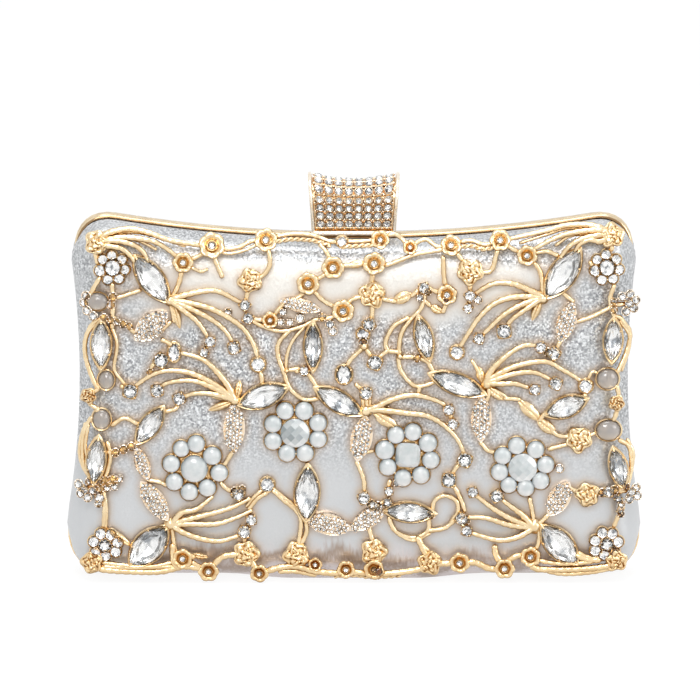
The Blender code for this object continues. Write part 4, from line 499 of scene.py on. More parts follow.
class Body:
    """The points, faces and painted shades of one piece, gathered shape by shape.

    Each point keeps a number from 0 to 1 of painted shade, which finishes read: in gold it
    is painted shade in grooves, hollows and the gaps between parts, and in a stone it is painted
    shade towards its rim or on the flats of its far side.
    """

    def __init__(self) -> None:
        """Starts with no points."""
        self.points: list[Vector] = []
        self.faces: list[tuple[int, ...]] = []
        self.slots: list[int] = []
        self.painted_shades: list[float] = []

    def add(self, points: Sequence[Vector], faces: Sequence[tuple[int, ...]],
            painted_shades: Sequence[float] | None = None, backed: Sequence[tuple[int, ...]] = ()) -> None:
        """Adds a shape.

        Args:
            points: The shape's points.
            faces: Its faces, as numbers of those points.
            painted_shades: A tone for each point, or none for 0 everywhere.
            backed: Further faces, which take the second finish.
        """
        start = len(self.points)
        self.points += points
        self.faces += [tuple(start + i for i in face) for face in (*faces, *backed)]
        self.slots += [0] * len(faces) + [1] * len(backed)
        self.painted_shades += painted_shades or [0.0] * len(points)

    def loft(self, rings: Sequence[Sequence[Vector]], wrap: bool = False,
             painted_shades: Sequence[float] | None = None) -> None:
        """Joins closed rings of equal count in order.

        Args:
            rings: The rings, each a closed line of points.
            wrap: Whether the last ring joins the first, or both ends are capped.
            painted_shades: A tone for each ring.
        """
        count, last = len(rings[0]), len(rings) - 1
        steps = [(i, i + 1) for i in range(last)] + [(last, 0)] * wrap
        faces = [(a * count + i, a * count + k, b * count + k, b * count + i)
                 for a, b in steps for i, k in zip(range(count), [*range(1, count), 0])]
        if not wrap:
            faces += [tuple(range(count)), tuple(range(last * count, (last + 1) * count))]
        self.add([point for ring in rings for point in ring], faces,
                 [tone for tone in painted_shades or [0.0] * len(rings) for _ in range(count)])

    def turn(self, seat: Seat, profile: Sequence[tuple[float, ...]], sides: int,
             wrap: bool = False, cut: Cut = Cut.ROUND, squeeze: float = 1.0,
             lobes: Callable[[float], float] | None = None) -> None:
        """Turns a profile about a seat's outward axis.

        Args:
            seat: The place and axes that the shape stands on.
            profile: Stations as radius, height and, if given, painted shade.
            sides: How many points go round.
            wrap: Whether the profile is a closed loop, for a band with a hole through it.
            cut: The outline that is followed round.
            squeeze: The width across the seat's up axis, as a share of the radius.
            lobes: A share of the radius for each angle, for a scalloped shape.
        """
        rings = []
        for radius, height, *_ in profile:
            ring = []
            for i in range(sides):
                angle = TURN * i / sides
                u, v = cut.edge(angle)
                reach = radius * (lobes(angle) if lobes else 1.0)
                ring.append(seat.at(u * reach, v * reach * squeeze, height))
            rings.append(ring)
        self.loft(rings, wrap, [station[2] if len(station) > 2 else 0.0 for station in profile])

    def band(self, seat: Seat, profile: Sequence[tuple[float, float, float]], sides: int,
             cut: Cut = Cut.ROUND, squeeze: float = 1.0) -> None:
        """Turns a closed profile of radius, height and painted shade into a band."""
        self.turn(seat, profile, sides, True, cut, squeeze)

    def tube(self, path: Sequence[Vector], radii: Sequence[float], sides: int) -> None:
        """Runs a round wire with rounded ends along a path.

        Args:
            path: The wire's middle line.
            radii: Its radius at each place of the path.
            sides: How many points go round.
        """
        first = heading(path, 0)
        last = heading(path, len(path) - 1)
        line = [path[0] - first * radii[0] * 0.7, *path, path[-1] + last * radii[-1] * 0.7]
        sizes = [radii[0] * 0.5, *radii, radii[-1] * 0.5]
        side = first.orthogonal().normalized()
        rings = []
        for i, (place, radius) in enumerate(zip(line, sizes)):
            along = heading(line, i)
            side = (side - along * side.dot(along)).normalized()
            seat = Seat(place, side, along.cross(side), along)
            rings.append([seat.polar(radius, TURN * k / sides, 0.0) for k in range(sides)])
        self.loft(rings)

    def rod(self, start: Vector, end: Vector, start_radius: float, end_radius: float,
            sides: int) -> None:
        """Adds a short straight wire, such as a claw."""
        self.tube([start, end], [start_radius, end_radius], sides)

    def ball(self, middle: Vector, radius: float, sides: int) -> None:
        """Adds a small cast bead.

        Args:
            middle: Its middle.
            radius: Its radius.
            sides: How many points go round.
        """
        seat = Seat(middle, Vector((1, 0, 0)), Vector((0, 0, 1)), Vector((0, -1, 0)))
        turns = [math.pi * (i / 5 - 0.5) for i in range(6)]
        self.turn(seat, [(max(radius * math.cos(a), radius * 0.15), radius * math.sin(a))
                         for a in turns], sides)

    def stone(self, seat: Seat, half_long: float, half_wide: float,
              heights: tuple[float, float, float], sides: int, table: float = 0.56,
              cut: Cut = Cut.ROUND) -> None:
        """Adds a faceted stone, clear in front and mirrored behind.

        Args:
            seat: The place and axes of the stone, its long side across.
            half_long: Half the stone's length.
            half_wide: Half its width.
            heights: How far out the point behind, the girdle and the table lie.
            sides: How many facets go round.
            table: The table's size as a share of the girdle's.
            cut: The outline of the girdle.
        """
        low, girdle, top = heights
        crown, pavilion = top - girdle, low - girdle
        points = []
        for share, height, half_step in (
                (1.0, girdle + crown * 0.12, 0), ((1 + table) / 2 + 0.04, girdle + crown * 0.66, 0.5),
                (table, top, 0), (1.0, girdle, 0), (0.55, girdle + pavilion * 0.62, 0.5)):
            for i in range(sides):
                u, v = cut.edge(TURN * (i + half_step) / sides)
                points.append(seat.at(u * half_long * share, v * half_wide * share, height))
        points.append(seat.at(0, 0, low))
        front, back = [], []
        rim, mid, tab, gird, pav = (sides * n for n in range(5))
        for i in range(sides):
            k = (i + 1) % sides
            front += [(i, k, mid + i), (mid + i, k, mid + k), (mid + i, mid + k, tab + k),
                      (mid + i, tab + k, tab + i)]
            back += [(gird + i, gird + k, rim + k, rim + i), (gird + k, gird + i, pav + i),
                     (gird + k, pav + i, pav + k), (pav + i, pav + sides, pav + k)]
        front.append(tuple(range(2 * sides, 3 * sides)))
        self.add(points, front, backed=back)

    def mesh(self, name: str) -> bpy.types.Mesh:
        """Makes the mesh, with its faces turned outwards.

        Args:
            name: The mesh's name.

        Returns:
            The new mesh.
        """
        mesh = bpy.data.meshes.new(name)
        mesh.from_pydata([tuple(point) for point in self.points], [], self.faces)
        mesh.polygons.foreach_set("material_index", self.slots)
        mesh.attributes.new("tone", "FLOAT", "POINT").data.foreach_set("value", self.painted_shades)
        work = bmesh.new()
        work.from_mesh(mesh)
        bmesh.ops.recalc_face_normals(work, faces=work.faces)
        work.to_mesh(mesh)
        work.free()
        return mesh

    def piece(self, name: str, finishes: "Sequence[Finish]", sharp: float, *nodes: str,
              body: str = "front_half") -> bpy.types.Object:
        """Makes the mesh object and hands it to the frame.

        Args:
            name: The piece's name.
            finishes: Its finishes, for the front faces and for the backed ones.
            sharp: The angle in degrees past which an edge stays sharp.
            *nodes: The nodes that it stands for.
            body: The body that it rides on.

        Returns:
            The new object.
        """
        mesh = self.mesh(name)
        for finish in finishes:
            mesh.materials.append(finish.material())
        mesh.shade_smooth()
        mesh.set_sharp_from_angle(angle=math.radians(sharp))
        piece = put(name, mesh)
        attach(piece, body)
        if nodes:
            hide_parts(*nodes)
        log.info("%s: %d faces on %s", name, len(self.faces), body)
        return piece


# Finishes

@dataclass(frozen=True)
class Finish:
    """A real material with its surface, drawn once under its own name.
    """

    name: str
    slot: str

    def material(self) -> bpy.types.Material:
        """Draws the material the first time it is asked for.

        Returns:
            The material.
        """
        known = bpy.data.materials.get(self.name)
        if known:
            return known
        material = bpy.data.materials.new(self.name)
        material.use_nodes = True
        tree = material.node_tree
        feed(tree.nodes["Principled BSDF"], self.surface(partial(add_node, tree)))
        return material

    def surface(self, node: NodeMaker) -> Inputs:
        """The shader's inputs, with node to add what feeds them; each finish has its own."""
        raise NotImplementedError


@dataclass(frozen=True)
class GoldPlate(Finish):
    """Thin bright gold plating over a zinc casting or steel strip.

    The eye gets near-white highlights and a pale peach gold on open metal, with worn patches of
    browner gold. The same browner gold is painted into hollows, grooves and undersides as painted
    shade. Towards the foot both golds are painted yellower, a painted reflection.
    """

    bright: str = "#F8E3BC"
    # Worn patches, and the painted shade in hollows, grooves and gaps, take the deep colour
    deep: str = "#C99E60"
    roughness: float = 0.22
    grain: float = 0.6 * MM
    dent: float = 0.2
    # Painted shade on undersides
    under: str = "#94703F"
    underside_shade_share: float = 0.7
    # Painted reflection: towards the foot both colours turn yellower
    foot_reflected_bright: str = "#FAE0B2"
    foot_reflected_deep: str = "#BE8E52"
    foot_reflection_ends: tuple[float, float] = (10 * MM, 19 * MM)
    patch: float = 4 * MM
    hollow: float = 1.6 * MM

    def surface(self, node: NodeMaker) -> Inputs:
        """Plated metal, with painted shade by hollow and side and a painted reflection by height.

        Args:
            node: What adds a node to the material.

        Returns:
            The shader's inputs.
        """
        place = node("TexCoord").outputs["Object"]
        patch = node("TexNoise", {"Vector": place, "Scale": 1 / self.patch})
        hollow = node("AmbientOcclusion", {"Distance": self.hollow}, samples=6).outputs["AO"]
        height = node("SeparateXYZ", [place]).outputs["Z"]
        # Painted reflection: the gold turns yellower towards the foot
        low = node("MapRange", [height, *self.foot_reflection_ends, 1.0, 0.0])
        bright = node("Mix", {0: low, 6: self.bright, 7: self.foot_reflected_bright}, data_type="RGBA")
        deep = node("Mix", {0: low, 6: self.deep, 7: self.foot_reflected_deep}, data_type="RGBA")
        worn = node("MapRange", [patch, 0.3, 0.7, 0.0, 0.35])
        plated = node("Mix", {0: worn, 6: bright, 7: deep}, data_type="RGBA")
        # Painted shade: what the ambient occlusion finds hollow takes the deep colour
        opened = node("MapRange", [hollow, 0.25, 0.85])
        shaded = node("Mix", {0: opened, 6: deep, 7: plated}, data_type="RGBA")
        # Painted shade kept at each point, in grooves, pits and gaps
        tone = node("Attribute", attribute_name="tone").outputs["Fac"]
        shade_painted = node("Mix", {0: node("MapRange", [tone, 0.0, 1.0, 0.0, 0.8]), 6: shaded, 7: deep},
                     data_type="RGBA")
        # Painted shade on surfaces that face down
        upward = node("SeparateXYZ", [node("NewGeometry").outputs["Normal"]]).outputs["Z"]
        painted_underside_shade = node("MapRange", [upward, -0.9, -0.25, self.underside_shade_share, 0.0])
        grain = node("TexNoise", {"Vector": place, "Scale": 1 / self.grain, "Detail": 4.0})
        return {"Base Color": node("Mix", {0: painted_underside_shade, 6: shade_painted, 7: self.under}, data_type="RGBA"),
                "Roughness": node("MapRange", [patch, 0.3, 0.7, self.roughness, self.roughness + 0.1]),
                "Normal": node("Bump", {"Strength": self.dent, "Distance": 0.12 * MM, "Height": grain}),
                "Metallic": 1.0}


@dataclass(frozen=True)
class FoilCloth(Finish):
    """Plain-woven polyester pressed with silver foil and dusted with flakes.

    The eye gets a soft pewter sheen with a fine pebble where the foil has cracked, and painted
    glints on some flakes. A smooth and much paler band along the crown is a painted highlight. The
    cloth's colour at the foot is painted light and reflection, and the brown band above it is a
    painted reflection and shadow of the cage. Beside the gold it takes a painted cast of gold
    colour, for the gold's reflection and shade. Pebble and flakes are about three times their real
    size, or they wouldn't show.
    """

    light: str = "#C9CBCD"
    dark: str = "#65686D"
    glint: str = "#EDEFF1"
    # Painted colours: a cast of gold colour beside the metal for its reflection and shade, the foot's
    # painted light and reflection, a brown band of painted reflection and shadow of the cage, and the
    # painted highlight along the crown
    gold_reflection_shade: str = "#C3A27C"
    foot: str = "#DAD1D2"
    cage_reflection_shadow: str = "#98826F"
    crown: str = "#DEDBD5"
    pebble: float = 0.85 * MM
    flake: float = 0.55 * MM
    cloud: float = 26 * MM
    highlight_edges: tuple[float, float, float, float] = (96 * MM, 106 * MM, 118 * MM, 122 * MM)
    highlight_ends: tuple[float, float] = (56 * MM, 80 * MM)
    near_metal: float = 3.4 * MM
    plain_ends: tuple[float, float] = (74 * MM, 86 * MM)
    streak: tuple[float, float] = (0.9 * MM, 9 * MM)
    pebbled_above: tuple[float, float] = (34 * MM, 58 * MM)
    foot_reflection_ends: tuple[float, float] = (11 * MM, 19 * MM)
    cage_reflection_shadow_edges: tuple[float, float, float, float] = (25 * MM, 29 * MM, 30 * MM, 35 * MM)

    def surface(self, node: NodeMaker) -> Inputs:
        """Foil-faced cloth, with painted highlight, light, reflection and shadow by height, distance from
        the middle and nearness to metal, and noise.

        Args:
            node: What adds a node to the material.

        Returns:
            The shader's inputs.
        """
        place = node("TexCoord").outputs["Object"]
        x, _, height = node("SeparateXYZ", [place]).outputs
        aside = node("Math", [x], operation="ABSOLUTE")
        inner = node("MapRange", [aside, *self.plain_ends, 1.0, 0.0])
        cloud = node("TexNoise", {"Vector": place, "Scale": 1 / self.cloud, "Detail": 3.0})
        pebbled = node("MapRange", [height, *self.pebbled_above])
        patchy = node("MapRange", [cloud, 0.42, 0.6, 0.55, 1.0])
        broken = node("Math", [pebbled, patchy], operation="MULTIPLY")
        # Painted highlight: between wavy edges of height, and away from the ends, with the pebble smoothed
        # out under it
        drift = node("TexNoise", {"Vector": place, "Scale": 1 / (15 * MM)})
        shifted = node("Math", [drift, 14 * MM, height], operation="MULTIPLY_ADD")
        rising = node("MapRange", [shifted, *self.highlight_edges[:2]])
        waning = node("MapRange", [shifted, *self.highlight_edges[2:], 1.0, 0.0])
        both = node("Math", [rising, waning], operation="MULTIPLY")
        middle = node("MapRange", [aside, *self.highlight_ends, 1.0, 0.0])
        painted_highlight = node("Math", [both, middle], operation="MULTIPLY")
        outside_highlight = node("MapRange", [painted_highlight, 0.3, 0.7, 1.0, 0.1])
        crackle = node("Math", [broken, outside_highlight], operation="MULTIPLY")
        # Flakes that lean each their own way, over the pebble
        flakes = node("TexVoronoi", {"Vector": place, "Scale": 1 / self.flake}).outputs["Color"]
        centred = node("VectorMath", [flakes, (0.5, 0.5, 0.5)], operation="SUBTRACT")
        tilt = node("MapRange", [crackle, 0.0, 1.0, 0.06, 0.34])
        lean = node("VectorMath", {0: centred, 3: tilt}, operation="SCALE")
        flat = node("NewGeometry").outputs["Normal"]
        tipped = node("VectorMath", [flat, lean], operation="ADD")
        normal = node("VectorMath", [tipped], operation="NORMALIZE")
        pebble = node("TexNoise", {"Vector": place, "Scale": 1 / self.pebble, "Detail": 3.0})
        cracked = node("MapRange", [pebble, 0.40, 0.60])
        worn = node("Math", [cracked, crackle], operation="MULTIPLY")
        # Painted glints on some flakes, where the foil is broken
        sparkling = node("MapRange", [flakes, 0.68, 0.74, 0.0, 0.9])
        glint = node("Math", [sparkling, crackle], operation="MULTIPLY")
        dulled = node("Mix", {0: node("MapRange", [worn, 0.0, 1.0, 0.0, 0.8]), 6: self.light,
                              7: self.dark}, data_type="RGBA")
        dusted = node("Mix", {0: glint, 6: dulled, 7: self.glint}, data_type="RGBA")
        highlighted = node("Mix", {0: painted_highlight, 6: dusted, 7: self.crown}, data_type="RGBA")
        # Painted cast of gold colour beside metal, for its reflection and shade; then the painted light and
        # reflection of the foot with its streaky edge, and the brown band of painted reflection and shadow
        # of the cage
        opened = node("AmbientOcclusion", {"Distance": self.near_metal}, samples=6).outputs["AO"]
        gold_reflection_added = node("Mix", {0: node("MapRange", [opened, 0.45, 0.93, 0.62, 0.0]), 6: highlighted,
                              7: self.gold_reflection_shade}, data_type="RGBA")
        stretch = (1 / self.streak[0], 1 / self.streak[0], 1 / self.streak[1])
        along = node("VectorMath", [place, stretch], operation="MULTIPLY")
        streak = node("TexNoise", {"Vector": along, "Scale": 1.0, "Detail": 3.0})
        ragged = node("Math", [streak, 9 * MM, height], operation="MULTIPLY_ADD")
        low = node("MapRange", [ragged, *self.foot_reflection_ends, 0.85, 0.0])
        inward = node("Math", [low, inner], operation="MULTIPLY")
        # Painted light and reflection at the foot
        foot_painted = node("Mix", {0: inward, 6: gold_reflection_added, 7: self.foot}, data_type="RGBA")
        # Painted reflection and shadow of the cage, in a band above the foot
        wander = node("TexNoise", {"Vector": place, "Scale": 1 / (20 * MM)})
        wavy = node("Math", [wander, 34 * MM, ragged], operation="MULTIPLY_ADD")
        over = node("MapRange", [wavy, *self.cage_reflection_shadow_edges[:2]])
        under = node("MapRange", [wavy, *self.cage_reflection_shadow_edges[2:], 0.75, 0.0])
        between = node("Math", [over, under], operation="MULTIPLY")
        band = node("Math", [between, inner], operation="MULTIPLY")
        return {"Base Color": node("Mix", {0: band, 6: foot_painted, 7: self.cage_reflection_shadow}, data_type="RGBA"),
                "Roughness": node("MapRange", [cloud, 0.3, 0.7, 0.34, 0.46]),
                "Normal": node("Bump", {"Strength": 0.42, "Distance": 0.13 * MM, "Height": pebble,
                                        "Normal": normal}),
                "Metallic": 0.66, "Sheen Weight": 0.08}


@dataclass(frozen=True)
class Satin(Finish):
    """Woven grey polyester satin, glued over the inner shell.

    The eye gets a soft grey with a fine slanting twill. The twill is drawn about three times
    as coarse as it is, so that it shows.
    """

    light: str = "#86868D"
    dark: str = "#75757D"
    thread: float = 0.6 * MM
    fold: float = 12 * MM

    def surface(self, node: NodeMaker) -> Inputs:
        """Satin, with its twill in gloss and relief.

        Args:
            node: What adds a node to the material.

        Returns:
            The shader's inputs.
        """
        place = node("TexCoord").outputs["Object"]
        twill = node("TexWave", {"Vector": place, "Scale": 0.32 / self.thread, "Distortion": 0.6},
                     bands_direction="DIAGONAL").outputs["Fac"]
        fold = node("TexNoise", {"Vector": place, "Scale": 1 / self.fold})
        return {"Base Color": node("Mix", {0: node("MapRange", [fold, 0.3, 0.7]), 6: self.dark,
                                           7: self.light}, data_type="RGBA"),
                "Roughness": node("MapRange", [twill, 0.0, 1.0, 0.42, 0.56]),
                "Normal": node("Bump", {"Strength": 0.3, "Distance": 0.1 * MM, "Height": twill}),
                "Sheen Weight": 0.4}


@dataclass(frozen=True)
class LeadGlass(Finish):
    """Cut and polished lead glass, the clear crown of a stone.

    The eye gets a hard clear surface; the faint wear on it keeps its glints from being equal.
    """

    ior: float = 1.56

    def surface(self, node: NodeMaker) -> Inputs:
        """Clear glass, a little worn.

        Args:
            node: What adds a node to the material.

        Returns:
            The shader's inputs.
        """
        place = node("TexCoord").outputs["Object"]
        wear = node("TexNoise", {"Vector": place, "Scale": 1 / (1.5 * MM)})
        return {"Base Color": "#FDFEFF", "Transmission Weight": 1.0, "IOR": self.ior,
                "Roughness": node("MapRange", [wear, 0.3, 0.7, 0.0, 0.03])}


@dataclass(frozen=True)
class SilverFoil(Finish):
    """Mirror silver laid on the back facets of a stone.

    The eye gets facets that flash white or go grey, where the foil is painted grey in patches.
    """

    plain: str = "#F7F6F4"
    tinted: str = "#85888C"
    patch: float = 1.1 * MM
    roughness: tuple[float, float] = (0.02, 0.07)

    def surface(self, node: NodeMaker) -> Inputs:
        """A mirror with duller patches.

        Args:
            node: What adds a node to the material.

        Returns:
            The shader's inputs.
        """
        place = node("TexCoord").outputs["Object"]
        patch = node("TexNoise", {"Vector": place, "Scale": 1 / self.patch})
        haze = node("TexNoise", {"Vector": place, "Scale": 1 / (2 * MM)})
        return {"Base Color": node("Mix", {0: node("MapRange", [patch, 0.5, 0.66]), 6: self.plain,
                                           7: self.tinted}, data_type="RGBA"),
                "Roughness": node("MapRange", [haze, 0.3, 0.7, *self.roughness]), "Metallic": 1.0}


@dataclass(frozen=True)
class Cabochon(Finish):
    """Polished resin or glass cabochon, cloudy in the middle.

    The eye gets a milky dome with a painted darker edge, which is painted shade, and one bright
    gloss. Its underside carries a painted highlight, a pale crescent for the light that enters
    from above and gathers there.
    """

    milk: str = "#F3F6F6"
    # Painted shade at the rim and on far-side flats
    rim: str = "#8E989B"
    cloud_tint: str = "#DDE4E5"
    # Painted highlight: the pale crescent on the underside
    gathered: str = "#FFFFFF"
    cloud: float = 3 * MM
    clear: float = 0.35

    def surface(self, node: NodeMaker) -> Inputs:
        """Cloudy resin under a gloss, with painted shade at its rim and a painted highlight below.

        Args:
            node: What adds a node to the material.

        Returns:
            The shader's inputs.
        """
        place = node("TexCoord").outputs["Object"]
        noise = node("TexNoise", {"Vector": place, "Scale": 1 / self.cloud, "Detail": 3.0})
        cloud = node("MapRange", [noise, 0.35, 0.65])
        tone = node("Attribute", attribute_name="tone").outputs["Fac"]
        upward = node("SeparateXYZ", [node("NewGeometry").outputs["Normal"]]).outputs["Z"]
        clouded = node("Mix", {0: cloud, 6: self.milk, 7: self.cloud_tint}, data_type="RGBA")
        # Painted shade towards the rim and on far-side flats
        rim_shaded = node("Mix", {0: node("MapRange", [tone, 0.4, 1.0]), 6: clouded, 7: self.rim},
                      data_type="RGBA")
        # Painted highlight: a pale crescent on the surfaces that face down
        lit = node("MapRange", [upward, -0.55, -0.1, 0.95, 0.0])
        return {"Base Color": node("Mix", {0: lit, 6: rim_shaded, 7: self.gathered}, data_type="RGBA"),
                "Roughness": node("MapRange", [cloud, 0.0, 1.0, 0.08, 0.16]),
                "Coat Weight": 0.8, "Coat Roughness": 0.03, "Transmission Weight": self.clear,
                "Subsurface Weight": 0.25, "Subsurface Radius": (1.0, 1.0, 1.0),
                "Subsurface Scale": 1.2 * MM}


@dataclass(frozen=True)
class Plain(Finish):
    """A hidden or worked part: moulded board, spring steel or a ground pin.

    The eye gets one colour broken by a fine grain from how the surface was made.
    """

    light: str = "#FFFFFF"
    dark: str = "#FFFFFF"
    grain: float = 1 * MM
    roughness: float = 0.4
    metallic: float = 0.0

    def surface(self, node: NodeMaker) -> Inputs:
        """One material, with its grain in colour, gloss and relief.

        Args:
            node: What adds a node to the material.

        Returns:
            The shader's inputs.
        """
        place = node("TexCoord").outputs["Object"]
        grain = node("TexNoise", {"Vector": place, "Scale": 1 / self.grain, "Detail": 4.0})
        gloss = (self.roughness - 0.08, self.roughness + 0.08)
        return {"Base Color": node("Mix", {0: grain, 6: self.dark, 7: self.light}, data_type="RGBA"),
                "Roughness": node("MapRange", [grain, 0.3, 0.7, *gloss]),
                "Normal": node("Bump", {"Strength": 0.2, "Distance": 0.1 * MM, "Height": grain}),
                "Metallic": self.metallic}


CAST_GOLD = GoldPlate("pale_gold_plated_zinc_cast", "pale_gold_plate")
RAIL_GOLD = GoldPlate("pale_gold_plated_steel_polished", "pale_gold_plate", "#F1DDB9", "#80592F", 0.12,
                      2.5 * MM, 0.06)
CLASP_GOLD = GoldPlate("champagne_gold_plated_brass_polished", "rose_gold_plate", "#FFF8EA", "#E2BF8E",
                       0.14, 0.8 * MM, 0.08)
ROSE_GOLD = GoldPlate("rose_gold_plated_brass_cast", "pale_gold_plate", "#FEF5E9", "#EBD0AB", 0.14,
                      0.8 * MM, 0.12)
FOIL_CLOTH = FoilCloth("silver_foil_cloth_pressed", "silver_fabric")
# The back cloth's foot, band and crown colours are painted light, reflection, shadow and highlight, as on
# the front
BACK_CLOTH = FoilCloth("silver_foil_cloth_plain", "silver_fabric", foot="#BDBDC0", cage_reflection_shadow="#B4B2B2",
                       crown="#CDCED0")
SATIN = Satin("grey_polyester_satin_woven", "grey_lining")
GLASS = LeadGlass("clear_lead_glass_cut", "clear_crystal")
FOIL = SilverFoil("silver_foil_mirrored", "clear_crystal")
SOFT_FOIL = SilverFoil("silver_foil_hazed", "clear_crystal", "#F7F6F4", "#9A9EA2", 4 * MM, (0.13, 0.27))
# In each cabochon finish the rim colour is painted shade and the gathered colour a painted highlight
MILKY = Cabochon("milky_resin_cabochon_polished", "milky_cabochon")
MOONSTONE = Cabochon("grey_moonstone_resin_polished", "moonstone", "#CDC9C6", "#9F9893", "#D8CEC3",
                     "#EFE4D6", 4 * MM, 0.6)
BOARD = Plain("black_abs_board_moulded", "shell_plastic", "#2C2C30", "#1C1C1F", 0.8 * MM, 0.55)
STEEL = Plain("spring_steel_drawn", "steel", "#B4B5B8", "#85868A", 0.6 * MM, 0.28, 1.0)


# Case

@dataclass
class Case:
    """The outline and the domes that both halves follow."""

    hinge_y: float
    width: float = 0.200
    height: float = 0.127
    depth: float = 0.024
    top_sag: float = 0.0071
    top_corner: float = 0.0165
    foot_corner: float = 0.0170
    foot_rise: float = 0.001
    foot_near: float = 0.0086
    foot_far: float = 0.012
    tightest_corner: float = 0.006
    sag_reach_share: float = 0.85
    waist_share: float = 0.055
    waist_place_share: float = 0.55
    lower_reach_share: float = 0.43
    upper_reach_share: float = 0.45
    frame_wall: float = 0.0008
    frame_inner: float = 0.0049
    gap: float = 0.0003
    dome_shares: tuple[Pair, ...] = ((0.09, 0.735), (0.25, 0.86), (0.58, 0.93))
    crown_power: float = 1.8
    shelf_lag: float = 0.0014
    shelf_drop: float = 0.0024
    shelf_reach: float = 0.008
    shelf_edge: float = -0.001
    settle: float = 0.0019
    settle_rise: tuple[float, float] = (0.112, 0.123)
    settle_foot: tuple[float, float] = (0.012, 0.023)
    settle_reach: tuple[float, float] = (0.020, 0.046)
    settle_depth: tuple[float, ...] = (0.0052, 0.0080, 0.0125, 0.0200)
    cover: BVHTree | None = field(default=None, repr=False)

    @property
    def rim_top(self) -> float:
        """The height of the rim where the top sags least."""
        return self.height - self.top_sag

    @property
    def pixel(self) -> float:
        """The size of one column of the front view."""
        return self.width / FACE_COLUMNS

    def warp(self, x: float, z: float) -> Vector:
        """Bends a plain rounded rectangle into the waisted outline with its sagging top.

        Args:
            x: The place across.
            z: Its height.

        Returns:
            Where it comes to lie.
        """
        share = max(0.0, (z - self.foot_rise) / (self.rim_top - self.foot_rise))
        reach = x / (self.sag_reach_share * self.width / 2)
        off = share - self.waist_place_share
        span = self.lower_reach_share if off < 0 else self.upper_reach_share
        flare = self.waist_share * (off / span) ** 2
        return Vector((x * (1 - self.waist_share + flare), z + self.top_sag * reach * reach * share))

    def outline(self, inset: float) -> list[Vector]:
        """Walks the case's outline, counter-clockwise from its lower right corner.

        Args:
            inset: How far it is drawn in.

        Returns:
            Its points.
        """
        half = self.width / 2 - inset
        low = self.foot_rise + inset
        high = self.rim_top - inset
        top = max(self.top_corner - inset, self.tightest_corner)
        foot = max(self.foot_corner - inset, self.tightest_corner)
        corners = ((half - foot, low + foot, foot), (half - top, high - top, top),
                   (top - half, high - top, top), (foot - half, low + foot, foot))
        points: list[Vector] = []
        for number, (x, z, radius) in enumerate(corners):
            turns = [TURN / 4 * (number - 1 + i / 9) for i in range(10)]
            ways = [Vector((math.cos(a), math.sin(a))) for a in turns]
            points += [Vector((x, z)) + radius * way for way in ways]
            next_x, next_z, next_radius = corners[(number + 1) % 4]
            start = Vector((next_x, next_z)) + next_radius * ways[-1]
            steps = 30 if number % 2 else 14
            last = points[-1]
            points += [last.lerp(start, i / steps) for i in range(1, steps)]
        return [self.warp(*point) for point in points]

    def inset_of(self, x: float, z: float) -> float:
        """How far inside the outline a place lies, by undoing the warp a step at a time.

        Args:
            x: The place across.
            z: Its height.

        Returns:
            Its distance from the outline, below zero outside it.
        """
        guess = Vector((x, z))
        for _ in range(8):
            guess += Vector((x, z)) - self.warp(*guess)
        half_z = (self.rim_top - self.foot_rise) / 2
        corner = self.top_corner if guess.y > self.foot_rise + half_z else self.foot_corner
        off_x = abs(guess.x) - (self.width / 2 - corner)
        off_z = abs(guess.y - self.foot_rise - half_z) - (half_z - corner)
        return corner - math.hypot(max(off_x, 0), max(off_z, 0)) - min(max(off_x, off_z), 0)

    def layer(self, body: Body, side: int, drops: tuple[float, float], first: int, fine: int,
              pucker: Callable[[float, float], float] | None = None) -> None:
        """Adds one layer of a half: a domed sheet with a rolled edge.

        Args:
            body: The piece that takes it.
            side: 1 for the back half and -1 for the front.
            drops: How far its outer and inner faces lie below the cover's outside.
            first: The station of the profile that it starts at.
            fine: How many steps each span of the profile takes.
            pucker: How far the sheet is lifted at a place of the front view.
        """
        rim = self.frame_wall + self.gap
        profile = [Vector(pair) for pair in (
            (rim, 2 * self.frame_wall), (rim, self.frame_inner + self.gap),
            (-self.foot_rise, self.foot_near), (-self.foot_rise, self.foot_far),
            *((a * self.depth, b * self.depth) for a, b in self.dome_shares))]
        past = profile[-1] + Vector((0.008, 0.0006))
        sheets = []
        for drop in drops:
            line = smooth_route(offset_line([*profile, past], drop)[first:], fine)[:-fine]
            rings = [(self.settled(inset, depth), depth) for inset, depth in line]
            edge, edge_depth = rings[-1]
            middle = Vector((0, (self.rim_top + self.foot_rise) / 2))
            for share in (0.88, 0.76, 0.64, 0.52, 0.4, 0.28, 0.16, 0.05):
                rise = (self.depth - drop - edge_depth) * (1 - share ** self.crown_power)
                rings.append(([middle.lerp(point, share) for point in edge], edge_depth + rise))
            sheets.append([[self.solid(p, side * (out + (pucker(*p) if pucker else 0))) for p in ring]
                           for ring, out in rings])
        body.loft([*reversed(sheets[0]), *sheets[1]])

    def solid(self, place: Vector, out: float) -> Vector:
        """The point at a place of the front view, out behind the hinge."""
        return Vector((place.x, self.hinge_y + out, place.y))

    def settled(self, inset: float, out: float) -> list[Vector]:
        """Draws the outline in along the top and at both ends of the foot.

        Args:
            inset: How far the outline is drawn in all round.
            out: How far from the parting plane it lies.

        Returns:
            Its points.
        """
        start, full, end, stop = self.settle_depth
        share = max(0.0, min(1.0, (out - start) / (full - start), (stop - out) / (stop - end)))
        ring = []
        for plain, drawn in zip(self.outline(inset), self.outline(inset + self.settle)):
            top = ease(plain.y, *self.settle_rise)
            foot = (1 - ease(plain.y, *self.settle_foot)) * ease(abs(plain.x), *self.settle_reach)
            ring.append(plain.lerp(drawn, share * max(top, foot)))
        return ring

